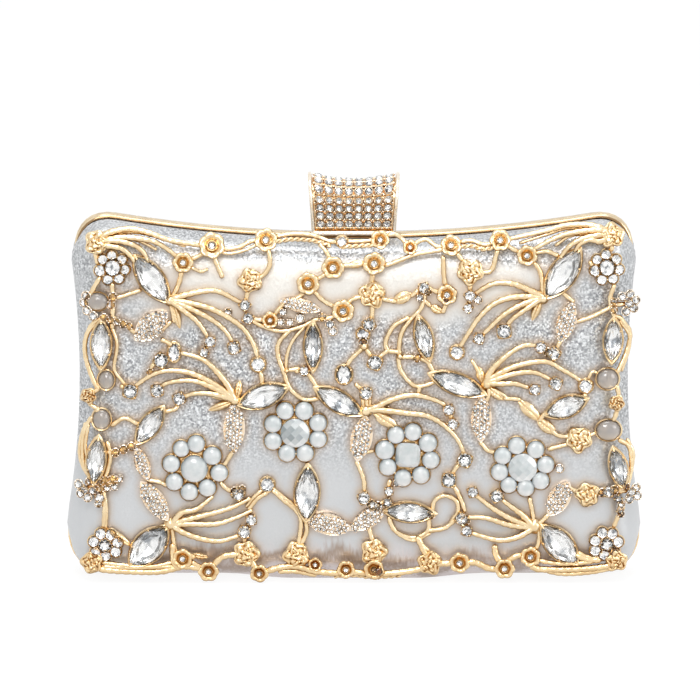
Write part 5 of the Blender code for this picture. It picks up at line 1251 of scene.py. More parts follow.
    def depth_at(self, x: float, z: float) -> float:
        """Finds the front cover, or the shelf past its rounded edge that the cage stands on.

        Args:
            x: The place across.
            z: Its height.

        Returns:
            The surface's place from front to back.
        """
        share = min(1.0, max(0.0, (self.inset_of(x, z) - self.shelf_edge) / self.shelf_reach))
        shelf = self.hinge_y + self.shelf_drop * (1 - share) ** 2 + self.shelf_lag - self.depth
        hit = self.cover.ray_cast(Vector((x, -1, z)), Vector((0, 1, 0)))
        return min(hit[0].y, shelf) if hit[0] else shelf

    def on_face(self, column: float, row: float) -> Vector:
        """The place across and up that a column and row of the front view stand for."""
        return Vector(((column - MIDDLE_COLUMN) * self.pixel,
                       (FOOT_ROW - row) * self.height / FACE_ROWS))

    def seat(self, column: float, row: float, reach: float, lift: float) -> Seat:
        """Finds a seat on the front.

        Args:
            column: Its column.
            row: Its row.
            reach: How far round it the face's lean is taken from.
            lift: How far it stands off the front.

        Returns:
            The seat, which leans as the face does.
        """
        x, z = self.on_face(column, row)
        lean_x = (self.depth_at(x + reach, z) - self.depth_at(x - reach, z)) / (2 * reach)
        lean_z = (self.depth_at(x, z + reach) - self.depth_at(x, z - reach)) / (2 * reach)
        origin = Vector((x, self.depth_at(x, z) - lift, z))
        return Seat(origin, Vector((1, lean_x, 0)), Vector((0, lean_z, 1)), Vector((0, -1, 0)))

    def wire_path(self, pixels: Sequence[Pair], lift: float, arch: float) -> list[Vector]:
        """A smooth line over the front.

        Args:
            pixels: The columns and rows that it passes.
            lift: How far it stands off the front.
            arch: How much further it stands off in its middle.

        Returns:
            The points of the line.
        """
        flat = smooth_route([self.on_face(*pixel) for pixel in pixels], step=0.9 * MM)
        path = []
        for i, (x, z) in enumerate(flat):
            rise = lift + arch * math.sin(math.pi * i / (len(flat) - 1))
            path.append(Vector((x, self.depth_at(x, z) - rise, z)))
        return path


@dataclass
class Covers:
    """The foil cloth covers and the satin linings of both halves."""

    case: Case
    cover_wall: float = 0.0006
    shell_wall: float = 0.0012
    lining_wall: float = 0.0008
    pucker_height: float = 0.25 * MM
    pucker_length: float = 9 * MM

    def pucker(self, x: float, z: float) -> float:
        """The lining's shallow unevenness where the glue has let it draw in."""
        turn = TURN / self.pucker_length
        return -self.pucker_height * (1 + math.sin(turn * x) * math.sin(turn * z / 1.7)) / 2

    def build(self) -> None:
        """Builds the covers, then the linings."""
        outer = self.cover_wall + self.case.gap
        inner = outer + self.shell_wall + self.case.gap
        for word, side, cloth in (("back", 1, BACK_CLOTH), ("front", -1, FOIL_CLOTH)):
            for kind, node, finish, drops, first, fine, pucker in (
                    ("moulded_shell", "shell", BOARD, (outer, inner - self.case.gap), 0, 2, None),
                    ("foil_cloth_cover", "cover", cloth, (0.0, self.cover_wall), 0, 5, None),
                    ("satin_lining", "lining", SATIN, (inner, inner + self.lining_wall), 1, 3,
                     self.pucker)):
                sheet = Body()
                self.case.layer(sheet, side, drops, first, fine, pucker)
                mesh = sheet.piece(f"{word}_{kind}", [finish], 60, f"{word}_{node}",
                                   body=f"{word}_half").data
                if finish is FOIL_CLOTH:
                    self.case.cover = BVHTree.FromPolygons(
                        [vertex.co.copy() for vertex in mesh.vertices],
                        [tuple(face.vertices) for face in mesh.polygons])


@dataclass
class Frames:
    """The two polished rails that meet at the parting plane, and the hinge at their foot."""

    case: Case
    parting: float = 0.00015
    web: float = 0.00105
    outer: float = 0.0046
    channel_inset: float = 0.0035
    proud: float = 0.0004
    hinge_rise: float = 0.0019
    knuckle_radius: float = 0.0016
    knuckle_neck: float = 0.0013
    knuckle_top: float = 0.0042
    pin_radius: float = 0.00075
    hinge_length: float = 0.110
    knuckles: int = 5
    groove_half_angle: float = math.radians(42)

    def rail(self, body: Body, side: int) -> None:
        """Adds one rail: a rounded outer bead and the channel that the shells sit in.

        Args:
            body: The piece that takes it.
            side: 1 for the back half and -1 for the front.
        """
        wall, lip = self.case.frame_wall, self.channel_inset
        low, high, proud = self.parting, self.outer, self.proud
        bead = [Vector(pair) for pair in (
            (0.55 * MM, low), (-0.3 * proud, low + 0.3 * MM), (-proud, low + 1.2 * MM),
            (-0.9 * proud, low + 2.2 * MM), (0.1 * MM, low + 2.9 * MM), (-0.5 * proud, low + 3.5 * MM),
            (-0.2 * proud, high - 0.3 * MM), (0.4 * MM, high))]
        channel = [Vector(pair) for pair in (
            (wall, high), (wall, low + self.web), (lip, low + self.web), (lip, self.case.frame_inner),
            (lip + wall, self.case.frame_inner), (lip + wall, low))]
        profile = smooth_route(bead, 3) + channel
        rings = [[self.case.solid(p, side * out) for p in self.case.outline(inset)]
                 for inset, out in profile]
        # Painted shade where the profile dips in: at the parting, in the bead's groove, at its inner edge
        # and in the channel
        body.loft(rings, wrap=True, painted_shades=[1.0 if point.x > 0.08 * MM else 0.0 for point in profile])

    def knuckle(self, body: Body, side: int, number: int) -> None:
        """Adds one knuckle: a rolled tube round the pin whose neck stands on its own side.

        Args:
            body: The piece that takes it.
            side: 1 for the back half and -1 for the front.
            number: Its place along the hinge.
        """
        near = side * (self.parting + self.case.gap)
        far = side * self.knuckle_neck
        bore = self.pin_radius + self.case.gap
        start = math.acos(abs(near) / self.knuckle_radius)
        stop = TURN + math.acos(abs(far) / self.knuckle_radius)
        turns = [start + (stop - start) * i / 27 for i in range(28)]
        line = [Vector((side * math.cos(a), math.sin(a))) * self.knuckle_radius for a in turns]
        neck = self.knuckle_top - self.hinge_rise
        line += [Vector((far, neck)), Vector((near, neck))]
        hole = [place.normalized() * bore for place in line]
        pitch = self.hinge_length / self.knuckles
        start_x = -self.hinge_length / 2 + pitch * number + self.case.gap / 2
        end_x = start_x + pitch - self.case.gap
        body.loft([self.across_hinge(x, ring) for x, ring in (
            (start_x, line), (end_x, line), (end_x, hole), (start_x, hole))], wrap=True)

    def across_hinge(self, x: float, line: Sequence[Vector]) -> list[Vector]:
        """A line round the hinge pin, put at its place along it."""
        return [Vector((x, self.case.hinge_y + y, self.hinge_rise + z)) for y, z in line]

    def clear_hinge(self, piece: bpy.types.Object) -> None:
        """Cuts the rail away round the barrel and below it, so that the halves can swing.

        Args:
            piece: The rail.
        """
        radius = self.knuckle_radius + self.case.gap
        deep = self.hinge_rise + 2 * self.case.foot_rise
        wide = deep * math.tan(self.groove_half_angle)
        turns = [math.pi * i / 12 for i in range(13)]
        line = [Vector((radius * math.cos(a), radius * math.sin(a))) for a in turns]
        line += [Vector((-wide, -deep)), Vector((wide, -deep))]
        tool = Body()
        half = self.case.width / 2
        tool.loft([self.across_hinge(x, line) for x in (-half, half)])
        cutter = put("hinge_clearance", tool.mesh("hinge_clearance"))
        cut = piece.modifiers.new("hinge_clearance", "BOOLEAN")
        cut.operation = "DIFFERENCE"
        cut.object = cutter
        whole = bpy.data.meshes.new_from_object(piece.evaluated_get(
            bpy.context.evaluated_depsgraph_get()))
        piece.modifiers.clear()
        piece.data = whole
        bpy.data.objects.remove(cutter)

    def build(self) -> None:
        """Builds the back rail, then the front rail."""
        for word, side in (("back", 1), ("front", -1)):
            rail = Body()
            self.rail(rail, side)
            self.clear_hinge(rail.piece(f"{word}_rail", [RAIL_GOLD], 50, f"{word}_frame",
                                        body=f"{word}_half"))
            rolled = Body()
            for number in range(0 if side > 0 else 1, self.knuckles, 2):
                self.knuckle(rolled, side, number)
            rolled.piece(f"{word}_hinge_knuckles", [RAIL_GOLD], 50, body=f"{word}_half")


@dataclass
class Hardware:
    """What the frames carry out of sight: pins, bracket, spring, keeper and chain eyes."""

    case: Case
    lug_wire: float = 0.0007
    spring_radius: float = 0.00145
    spring_wire: float = 0.00025
    spring_half: float = 0.0035
    spring_turns: int = 5
    spring_leg: float = 0.0030
    spring_lean_share: float = 0.35
    latch_back: float = 0.0020
    latch_rise: float = 0.0032

    def chain_eye(self, word: str) -> None:
        """Builds the wire eye near one top corner, where its node is.

        Args:
            word: The side that it is on.
        """
        low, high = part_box(f"chain_lug_{word}")
        radius = (high.x - low.x) / 2 - self.lug_wire
        rings = []
        for i in range(40):
            away = Vector((math.cos(TURN * i / 40), 0, math.sin(TURN * i / 40)))
            seat = Seat((low + high) / 2 + away * radius, away, Vector((0, 1, 0)),
                        Vector((-away.z, 0, away.x)))
            rings.append([seat.polar(self.lug_wire, TURN * k / 12, 0) for k in range(12)])
        eye = Body()
        eye.loft(rings, wrap=True)
        eye.piece(f"chain_eye_{word}", [RAIL_GOLD], 60, f"chain_lug_{word}", body="back_half")

    def spring(self) -> None:
        """Builds the torsion spring that is wound on the clasp's pin."""
        y = self.case.hinge_y + self.latch_back
        z = self.case.rim_top + self.latch_rise
        total = self.spring_turns * 20
        route = []
        for i in range(total + 1):
            angle = TURN * self.spring_turns * i / total
            x = -self.spring_half + 2 * self.spring_half * i / total
            route.append(Vector((x, y + self.spring_radius * math.cos(angle),
                                 z + self.spring_radius * math.sin(angle))))
        route.insert(0, route[0] + Vector((0, 0, -self.spring_radius / 2)))
        leg = self.spring_leg
        route.append(route[-1] + Vector((0, -leg * self.spring_lean_share, leg)))
        coil = Body()
        coil.tube(route, [self.spring_wire] * len(route), 8)
        coil.piece("clasp_torsion_spring", [STEEL], 60, "latch_spring", body="back_half")

    def build(self, nodes: dict[str, bpy.types.Object]) -> None:
        """Builds the eyes and the spring, and finishes the nodes that stay as they are.

        Args:
            nodes: The frame's nodes by name.
        """
        self.chain_eye("left")
        self.chain_eye("right")
        self.spring()
        kept = {"hinge_pin": STEEL, "latch_bracket": STEEL, "latch_pin": STEEL, "keeper": RAIL_GOLD}
        for name, finish in kept.items():
            nodes[name].data.materials.clear()
            nodes[name].data.materials.append(finish.material())
            log.info("%s: finished as %s", name, finish.name)


# Cage

@dataclass
class Cage:
    """The cast and soldered metalwork over the front, and the small stones set in it.

    Lengths are in metres. Lifts are measured outwards from the face. Sprays and claws have a
    radius at their start and one at their end.
    """

    case: Case
    standoff: float = 0.0008
    wire: float = 0.00086
    spray: Pair = (0.00130, 0.00078)
    foot_row: float = 536
    foot_swell: float = 1.4
    arch: float = 0.0008
    rose_rise: float = 0.0036
    cup_rise: float = 0.0027
    setting_rise: float = 0.0030
    leaf_rise: float = 0.0019
    bezel: float = 0.0007
    bezel_rise: float = 0.0022
    bezel_power: float = 1.9
    claw: Pair = (0.00044, 0.00036)
    tip_claw: Pair = (0.0006, 0.0004)
    side_bead: float = 0.00042
    grain_rise: float = 0.0019
    grain_bead: float = 0.00034
    pave_bead: float = 0.00026
    pave_pitch: float = 0.00135
    pave_from: float = 15
    pave_lean: float = 0.34
    pave_shift: float = 0.06
    rounds: list[tuple[Vector, float]] = field(default_factory=list, repr=False)

    def __post_init__(self) -> None:
        """Lists the round places that hold a stone, where a wire has to stop."""
        spots = [(column, row, radius * 0.80) for column, row, radius in CUP_PIXELS + SETTING_PIXELS]
        spots += [(column, row, min(across, down)) for _, column, row, across, down in OVAL_PIXELS]
        for _, middle, petals in PEARL_FLOWER_PIXELS + BRILLIANT_FLOWER_PIXELS:
            spots += [middle, *petals]
        self.rounds = [(self.case.on_face(column, row), radius * self.case.pixel)
                       for column, row, radius in spots]

    def held(self, place: Vector) -> bool:
        """Looks whether a stone stands at a place.

        Args:
            place: The place of the front view.

        Returns:
            Whether a round stone or a crystal covers it.
        """
        if any((place - middle).length < radius for middle, radius in self.rounds):
            return True
        for _, *tips, width in CRYSTAL_PIXELS:
            start, end = (self.case.on_face(*tip) for tip in pairs(tips))
            along, off = (end - start) / 2, place - (start + end) / 2
            u = off.dot(along) / along.length_squared
            v = abs(off.x * along.y - off.y * along.x) / along.length / (width * self.case.pixel / 2)
            if abs(u) < 1 and v < 1 - abs(u) ** self.bezel_power:
                return True
        return False

    def strands(self, body: Body, lines: Sequence[Sequence[float]], radii: Pair,
                arch: float = 0.0) -> None:
        """Adds wires that keep or lose their thickness along their way.

        Args:
            body: The piece that takes them.
            lines: The columns and rows that each passes.
            radii: The radius at the start and end.
            arch: How far each stands up in its middle.
        """
        for pixels in map(pairs, lines):
            swell = self.foot_swell if min(row for _, row in pixels) > self.foot_row else 1.0
            start, end = (radius * swell for radius in radii)
            path = self.case.wire_path(pixels, self.standoff + max(start, end), arch)
            run: list[tuple[Vector, float]] = []
            for i, place in enumerate([*path, None]):
                if place is not None and not self.held(place.xz):
                    wave = 1 + 0.10 * math.sin(2.1 * i + 90 * path[0].x / self.case.width)
                    run.append((place, (start + (end - start) * i / (len(path) - 1)) * wave))
                    continue
                if len(run) > 1:
                    body.tube([spot for spot, _ in run], [size for _, size in run], 8)
                run = []

    def twisted(self, body: Body, line: Sequence[float], radius: float) -> None:
        """Adds two thin wires that twist about each other.

        Args:
            body: The piece that takes them.
            line: The columns and rows that they pass.
            radius: The radius of each.
        """
        path = self.case.wire_path(pairs(line), self.standoff + 2 * radius, 0.0)
        out = Vector((0, -1, 0))
        for half in (0.0, math.pi):
            wire = []
            for i, place in enumerate(path):
                along = heading(path, i)
                seat = Seat(place, along.cross(out).normalized(), out, along)
                wire.append(seat.polar(radius * 0.9, half + 1.3 * i, 0.0))
            body.tube(wire, [radius] * len(wire), 6)

    def vines(self) -> None:
        """Builds the tapering sprays and the stems of even width."""
        sprays, stems = Body(), Body()
        self.strands(sprays, SPRAY_PIXELS, self.spray, self.arch)
        sprays.piece("vine_sprays_cast", [CAST_GOLD], 60, "filigree_cage")
        self.strands(stems, STEM_PIXELS, (self.wire, self.wire))
        self.strands(stems, TWIN_PIXELS, (self.wire * 0.8, self.wire * 0.7), self.arch / 2)
        for line in ROPE_PIXELS:
            self.twisted(stems, line, self.wire * 0.62)
        stems.piece("vine_stems_cast", [CAST_GOLD], 60)

    def spot(self, column: float, row: float, radius: float, turn: float = 0.0) -> tuple[Seat, float]:
        """A turned seat for a cast ornament, and its radius in metres."""
        reach = radius * self.case.pixel
        return self.case.seat(column, row, reach, self.standoff).turned(turn), reach

    def mound(self, body: Body, seat: Seat, rows: int, sides: int, relief: Relief) -> None:
        """Adds a closed solid whose top is a relief.

        Args:
            body: The piece that takes it.
            seat: The place and axes that it stands on.
            rows: How many rings lie between its rim and its middle.
            sides: How many points go round.
            relief: Its place, height and tone at a share of the way out and an angle.
        """
        turns = [TURN * k / sides for k in range(sides)]
        rings = [[seat.at(u * 0.94, v * 0.94, 0.0) for u, v, *_ in (relief(1.0, a) for a in turns)]]
        painted_shades = [0.0] * sides
        for share in [*(1 - i / rows for i in range(rows)), 0.02]:
            spots = [relief(share, angle) for angle in turns]
            rings.append([seat.at(u, v, height) for u, v, height, _ in spots])
            painted_shades += [tone for *_, tone in spots]
        body.loft(rings)
        body.painted_shades[-len(painted_shades):] = painted_shades

    def rose(self, body: Body, column: float, row: float, radius: float, turn: float) -> None:
        """Adds a rose: petals that wind in to a bud, with dark pits between them.

        Args:
            body: The piece that takes it.
            column: Its column.
            row: Its row.
            radius: Its radius, in columns.
            turn: How far it is turned, which varies its petals too.
        """
        seat, reach = self.spot(column, row, radius, turn)

        def relief(share: float, angle: float) -> tuple[float, float, float, float]:
            """Petals that overlap in a spiral.

            Args:
                share: The share of the way out, 0 in the middle and 1 at the rim.
                angle: The direction, from across towards up.

            Returns:
                The places across and up, the height and the tone.
            """
            outline = 1 + 0.08 * math.cos(5 * angle + turn) + 0.05 * math.cos(3 * angle - 2 * turn)
            if share > 0.62:
                fold = math.cos(5 * angle + turn)
            elif share > 0.3:
                fold = math.cos(4 * angle + 2.2 - turn)
            else:
                fold = math.cos(2 * angle + 0.6)
            layer = math.sin(math.pi * (((1 - share) * 2.6 + 0.25 * fold + angle / TURN) % 1.0)) ** 0.7
            dome = 0.34 + 0.66 * math.sqrt(max(0.0, 1 - (share * 0.96) ** 2.4))
            pit = max(0.0, math.cos(7 * angle + 9 * share + turn) - 0.62) * 2.2 * (0.4 < share < 0.85)
            cut = 0.20 * (1 - layer) + 0.10 * (1 - fold) / 2 + 0.16 * pit
            # Painted shade between the petal layers and in the pits
            tone = max(0.0, (0.5 - layer) * 1.6) + pit
            out = reach * share * outline
            return (out * math.cos(angle), out * math.sin(angle), self.rose_rise * (dome - cut),
                    min(1.0, tone))

        self.mound(body, seat, 16, 48, relief)

    def cup(self, body: Body, stones: Body, column: float, row: float, radius: float,
            turn: float) -> None:
        """Adds a lobed bowl with a round stone in a collar at its bottom.

        Args:
            body: The piece that takes the metal.
            stones: The piece that takes the stone.
            column: Its column.
            row: Its row.
            radius: Its radius, in columns.
            turn: How far it is turned.
        """
        seat, reach = self.spot(column, row, radius, turn)
        lobes = 5 if radius < 10 else 6
        rise = self.cup_rise * min(1.0, 0.7 + reach / 12 / MM)

        def relief(share: float, angle: float) -> tuple[float, float, float, float]:
            """Lobes with grooves between them, round a sunk floor.

            Args:
                share: The share of the way out, 0 in the middle and 1 at the rim.
                angle: The direction, from across towards up.

            Returns:
                The places across and up, the height and the tone.
            """
            wave = math.cos(lobes * angle)
            outline = 1.05 + 0.045 * wave - 0.06 * max(0.0, -wave - 0.6)
            inward = max(0.0, min(1.0, (share - 0.46) / 0.40))
            wall = 0.62 + 0.38 * inward * (2 - inward)
            lip = 1.0 - 0.3 * max(0.0, (share - 0.86) / 0.14) ** 2
            groove = max(0.0, -wave - 0.75) * 0.5 * inward
            # Painted shade in the bowl and in the grooves
            tone = (0.3 if 0.4 < share < 0.74 else 0.0) + groove * 4
            out = reach * share * outline
            return (out * math.cos(angle), out * math.sin(angle), rise * (wall * lip - groove),
                    min(1.0, tone))

        self.mound(body, seat, 14, 40, relief)
        bowl, inner = seat.lifted(rise * 0.58), reach * 0.29
        # The third number of each station is painted shade
        body.band(bowl, [(inner, 0.0, 0.5), (inner * 1.62, 0.0, 0.6), (inner * 1.55, 0.0006, 0.0),
                         (inner * 1.3, 0.0010, 0.0), (inner * 0.97, 0.0007, 0.6)], 18)
        stones.stone(bowl, inner, inner, (0.0002, 0.0006, 0.0013), 8)

    def grain(self, body: Body, stones: Body, column: float, row: float, radius: float) -> None:
        """Adds a small round stone in a thin collar of its own, with four beads over it.

        Args:
            body: The piece that takes the metal.
            stones: The piece that takes the stone.
            column: Its column.
            row: Its row.
            radius: Its radius, in columns.
        """
        seat = self.case.seat(column, row, 1 * MM, self.standoff)
        reach, rise = radius * self.case.pixel, self.grain_rise
        # The third number of each station is painted shade
        body.band(seat, [(reach * 1.02, 0.0, 0.6), (reach * 1.22, 0.0, 0.6),
                         (reach * 1.20, rise * 0.92, 0.0), (reach * 1.08, rise, 0.0),
                         (reach * 0.98, rise * 0.86, 0.5)], 18)
        stones.stone(seat, reach, reach, (rise * 0.45, rise * 0.8, rise * 1.2 + reach * 0.12), 8)
        for k in range(4):
            body.ball(seat.polar(reach * 1.02, TURN * (k + 0.5) / 4, rise), self.grain_bead, 6)

    def setting(self, body: Body, stones: Body, column: float, row: float, radius: float,
                turn: float) -> None:
        """Adds a claw setting: a squarish tulip collar with four claws over a round stone.

        Args:
            body: The piece that takes the metal.
            stones: The piece that takes the stone.
            column: Its column.
            row: Its row.
            radius: Its radius, in columns.
            turn: How far it is turned.
        """
        seat, reach = self.spot(column, row, radius, turn)
        rise = self.setting_rise
        # The third number of each station is painted shade
        profile = [(reach * out, rise * up, tone) for out, up, tone in (
            (0.62, 0.0, 0.7), (0.78, 0.0, 0.7), (0.92, 0.4, 0.3), (1.04, 0.68, 0.0),
            (1.0, 0.76, 0.0), (0.88, 0.70, 0.4), (0.66, 0.4, 0.8))]
        body.turn(seat, profile, 28, True, lobes=lambda angle: 1 + 0.09 * math.cos(4 * angle))
        stones.stone(seat, reach * 0.92, reach * 0.92, (rise * 0.42, rise * 0.72, rise * 1.04), 8)
        for k in range(4):
            body.rod(seat.polar(reach * 1.06, TURN * k / 4, rise * 0.5),
                     seat.polar(reach * 0.88, TURN * k / 4, rise * 0.9), *self.claw, 6)

    def knot(self, body: Body, column: float, row: float, radius: float) -> None:
        """Adds the wrapped knob that a spray grows from.

        Args:
            body: The piece that takes it.
            column: Its column.
            row: Its row.
            radius: Its radius, in columns.
        """
        seat, reach = self.spot(column, row, radius)
        # The third number of each station is painted shade
        body.turn(seat, [(reach * out, up, tone) for out, up, tone in (
            (0.9, 0.0, 0.5), (1.0, 0.0008, 0.0), (0.9, 0.0015, 0.0), (0.72, 0.0017, 0.7),
            (0.66, 0.0021, 0.0), (0.36, 0.0026, 0.0), (0.1, 0.0027, 0.0))], 18)

    def leaf_seat(self, tips: Sequence[float], lift: float) -> tuple[Seat, float]:
        """Finds the seat at the middle of a leaf or a crystal.

        Args:
            tips: The column and row of its first tip, and of the other.
            lift: How far it stands off the front.

        Returns:
            The seat, whose across axis runs to the first tip, and half the length.
        """
        start, end = (self.case.on_face(*tip) for tip in pairs(tips))
        along = (start - end) / 2
        middle = ((tips[0] + tips[2]) / 2, (tips[1] + tips[3]) / 2)
        seat = self.case.seat(*middle, 2.5 * MM, lift)
        return seat.turned(math.atan2(along.y, along.x)), along.length

    def plain_leaf(self, body: Body, tips: Sequence[float], width: float) -> None:
        """Adds a plain cast leaf with a vein down it and ribs to each side.

        Args:
            body: The piece that takes it.
            tips: The column and row of its first tip, and of the other.
            width: Its width, in columns.
        """
        seat, half_long = self.leaf_seat(tips, self.standoff)
        half_wide = width * self.case.pixel / 2

        def relief(share: float, angle: float) -> tuple[float, float, float, float]:
            """A vein along the middle, and ribs that lean away from it.

            Args:
                share: The share of the way out, 0 in the middle and 1 at the rim.
                angle: The direction, from across towards up.

            Returns:
                The places across and up, the height and the tone.
            """
            u, v = Cut.MARQUISE.edge(angle)
            across, up = u * half_long * share, v * half_wide * share
            vein = max(0.0, 1 - abs(up) / (0.28 * half_wide))
            rib = 0.5 + 0.5 * math.cos(TURN * across / (1.25 * MM) - abs(up) / MM * 4)
            height = self.leaf_rise * (0.55 + 0.45 * (1 - share ** 2)) - 0.00035 * vein - 0.00018 * rib
            # Painted shade along the sunk vein and between the ribs
            return across, up, height, min(1.0, 0.8 * vein ** 2 + 0.35 * (1 - rib) * share)

        self.mound(body, seat, 9, 36, relief)

    def pave_leaf(self, body: Body, stones: Body, tips: Sequence[float], width: float) -> None:
        """Adds a leaf paved with small stones in rows, each held by cast beads.

        Args:
            body: The piece that takes the metal.
            stones: The piece that takes the stones.
            tips: The column and row of its first tip, and of the other.
            width: Its width, in columns.
        """
        seat, half_long = self.leaf_seat(tips, self.standoff)
        half_wide = width * self.case.pixel / 2

        def dome(share: float) -> float:
            """The height at a share of the way out, without the lip."""
            return self.leaf_rise * (0.72 + 0.2 * (1 - share ** 2))

        def relief(share: float, angle: float) -> tuple[float, float, float, float]:
            """A low dome with a raised lip.

            Args:
                share: The share of the way out, 0 in the middle and 1 at the rim.
                angle: The direction, from across towards up.

            Returns:
                The places across and up, the height and the tone.
            """
            u, v = Cut.MARQUISE.edge(angle)
            # The field between the stones carries painted shade; the lip has none
            lip = 0.16 * self.leaf_rise if share > 0.9 else 0.0
            return (u * half_long * share, v * half_wide * share, dome(share) + lip,
                    0.0 if lip else 0.8)

        self.mound(body, seat, 8, 36, relief)
        pitch = self.pave_pitch
        radius, pitch_up = pitch * 0.43, pitch * 0.87
        rows, places = int(half_wide / pitch_up) + 1, int(half_long / pitch) + 1
        for j in range(-rows, rows + 1):
            for i in range(-places, places + 1):
                u, v = (i + 0.5 * (j % 2)) * pitch, j * pitch_up
                reach = 1 - (abs(u) / half_long) ** MARQUISE_POWER
                if abs(u) > half_long - radius or abs(v) + radius * 0.7 > half_wide * reach ** 0.6:
                    continue
                top = dome(max(abs(u) / half_long, abs(v) / half_wide))
                shift = Vector((math.sin(7 * i + 3 * j), math.cos(5 * i - 4 * j))) * pitch * self.pave_shift
                lean = seat.out * self.pave_lean
                tipped = Seat(seat.at(u + shift.x, v + shift.y, top + 0.0001),
                              seat.across + lean * math.sin(11 * i + 7 * j),
                              seat.up + lean * math.cos(9 * i - 5 * j), seat.out)
                stones.stone(tipped, radius * 1.04, radius * 1.04, (0.0, 0.00028, 0.00068), 6)
                for k in range(2):
                    angle = TURN * (k / 6 + 1 / 12)
                    body.ball(seat.at(u + pitch * 0.57 * math.cos(angle),
                                      v + pitch * 0.57 * math.sin(angle), top + 0.0004),
                              self.pave_bead, 5)

    def bezels(self, body: Body) -> None:
        """Adds the thin bands round the marquise crystals, with a claw over each tip and side.

        Args:
            body: The piece that takes them.
        """
        for _, *tips, width in CRYSTAL_PIXELS:
            seat, half_long = self.leaf_seat(tips, self.standoff)
            half_wide, top = width * self.case.pixel / 2, self.bezel_rise
            inner, outer = half_long * 1.02, half_long * (1 + self.bezel / half_wide)
            # The third number of each station is painted shade
            body.band(seat, [(inner, 0.0, 0.8), (outer, 0.0, 0.5), (outer, top * 0.8, 0.0),
                             ((outer + inner) / 2, top, 0.0), (inner, top * 0.92, 0.2)], 40,
                      Cut.MARQUISE, half_wide / half_long)
            for side in (-1, 1):
                body.rod(seat.at(side * (half_long + self.bezel), 0, top * 0.5),
                         seat.at(side * half_long * 0.93, 0, top + 0.0002), *self.tip_claw, 8)
                for share in (-0.45, 0.45):
                    reach = half_wide * (1 - abs(share) ** self.bezel_power)
                    body.ball(seat.at(half_long * share, side * reach * 1.04, top), self.side_bead, 6)

    def build(self) -> None:
        """Builds the metal, then the small stones."""
        self.vines()
        cups, roses, claws, leaves, plain, stones, paving = (Body() for _ in range(7))
        for number, spot in enumerate(CUP_PIXELS):
            self.cup(cups, stones, *spot, 0.7 * number)
        cups.piece("lobed_cups_cast", [CAST_GOLD], 45)
        for number, (column, row, radius) in enumerate(ROSE_PIXELS):
            self.rose(roses, column, row, radius * 1.02, 0.9 * number)
        for spot in KNOT_PIXELS:
            self.knot(roses, *spot)
        roses.piece("roses_cast", [CAST_GOLD], 60)
        for number, spot in enumerate(SETTING_PIXELS):
            self.setting(claws, stones, *spot, 0.35 * number)
        self.bezels(claws)
        claws.piece("claw_settings_cast", [CAST_GOLD], 45)
        stones.piece("small_round_stones", [GLASS, FOIL], 10)
        for *tips, width in LEAF_PIXELS:
            if width >= self.pave_from:
                self.pave_leaf(leaves, paving, tips, width)
            else:
                self.plain_leaf(plain, tips, width)
        for spot in GRAIN_PIXELS:
            self.grain(leaves, paving, *spot)
        leaves.piece("paved_leaves_cast", [ROSE_GOLD], 45)
        plain.piece("plain_leaves_cast", [CAST_GOLD], 60)
        paving.piece("paving_stones", [GLASS, FOIL], 10)


class Crown(Enum):
    """How the middle of a milky flower is worked."""

    DOME = "smooth dome"
    # The cushion and the checkers carry painted shade on their far flats, deep or faint
    CUSHION = "squarish, with a flat top"
    DEEP_CHECKER = "checkerboard of dark and pale flats"
    FAINT_CHECKER = "checkerboard of flats that differ little"


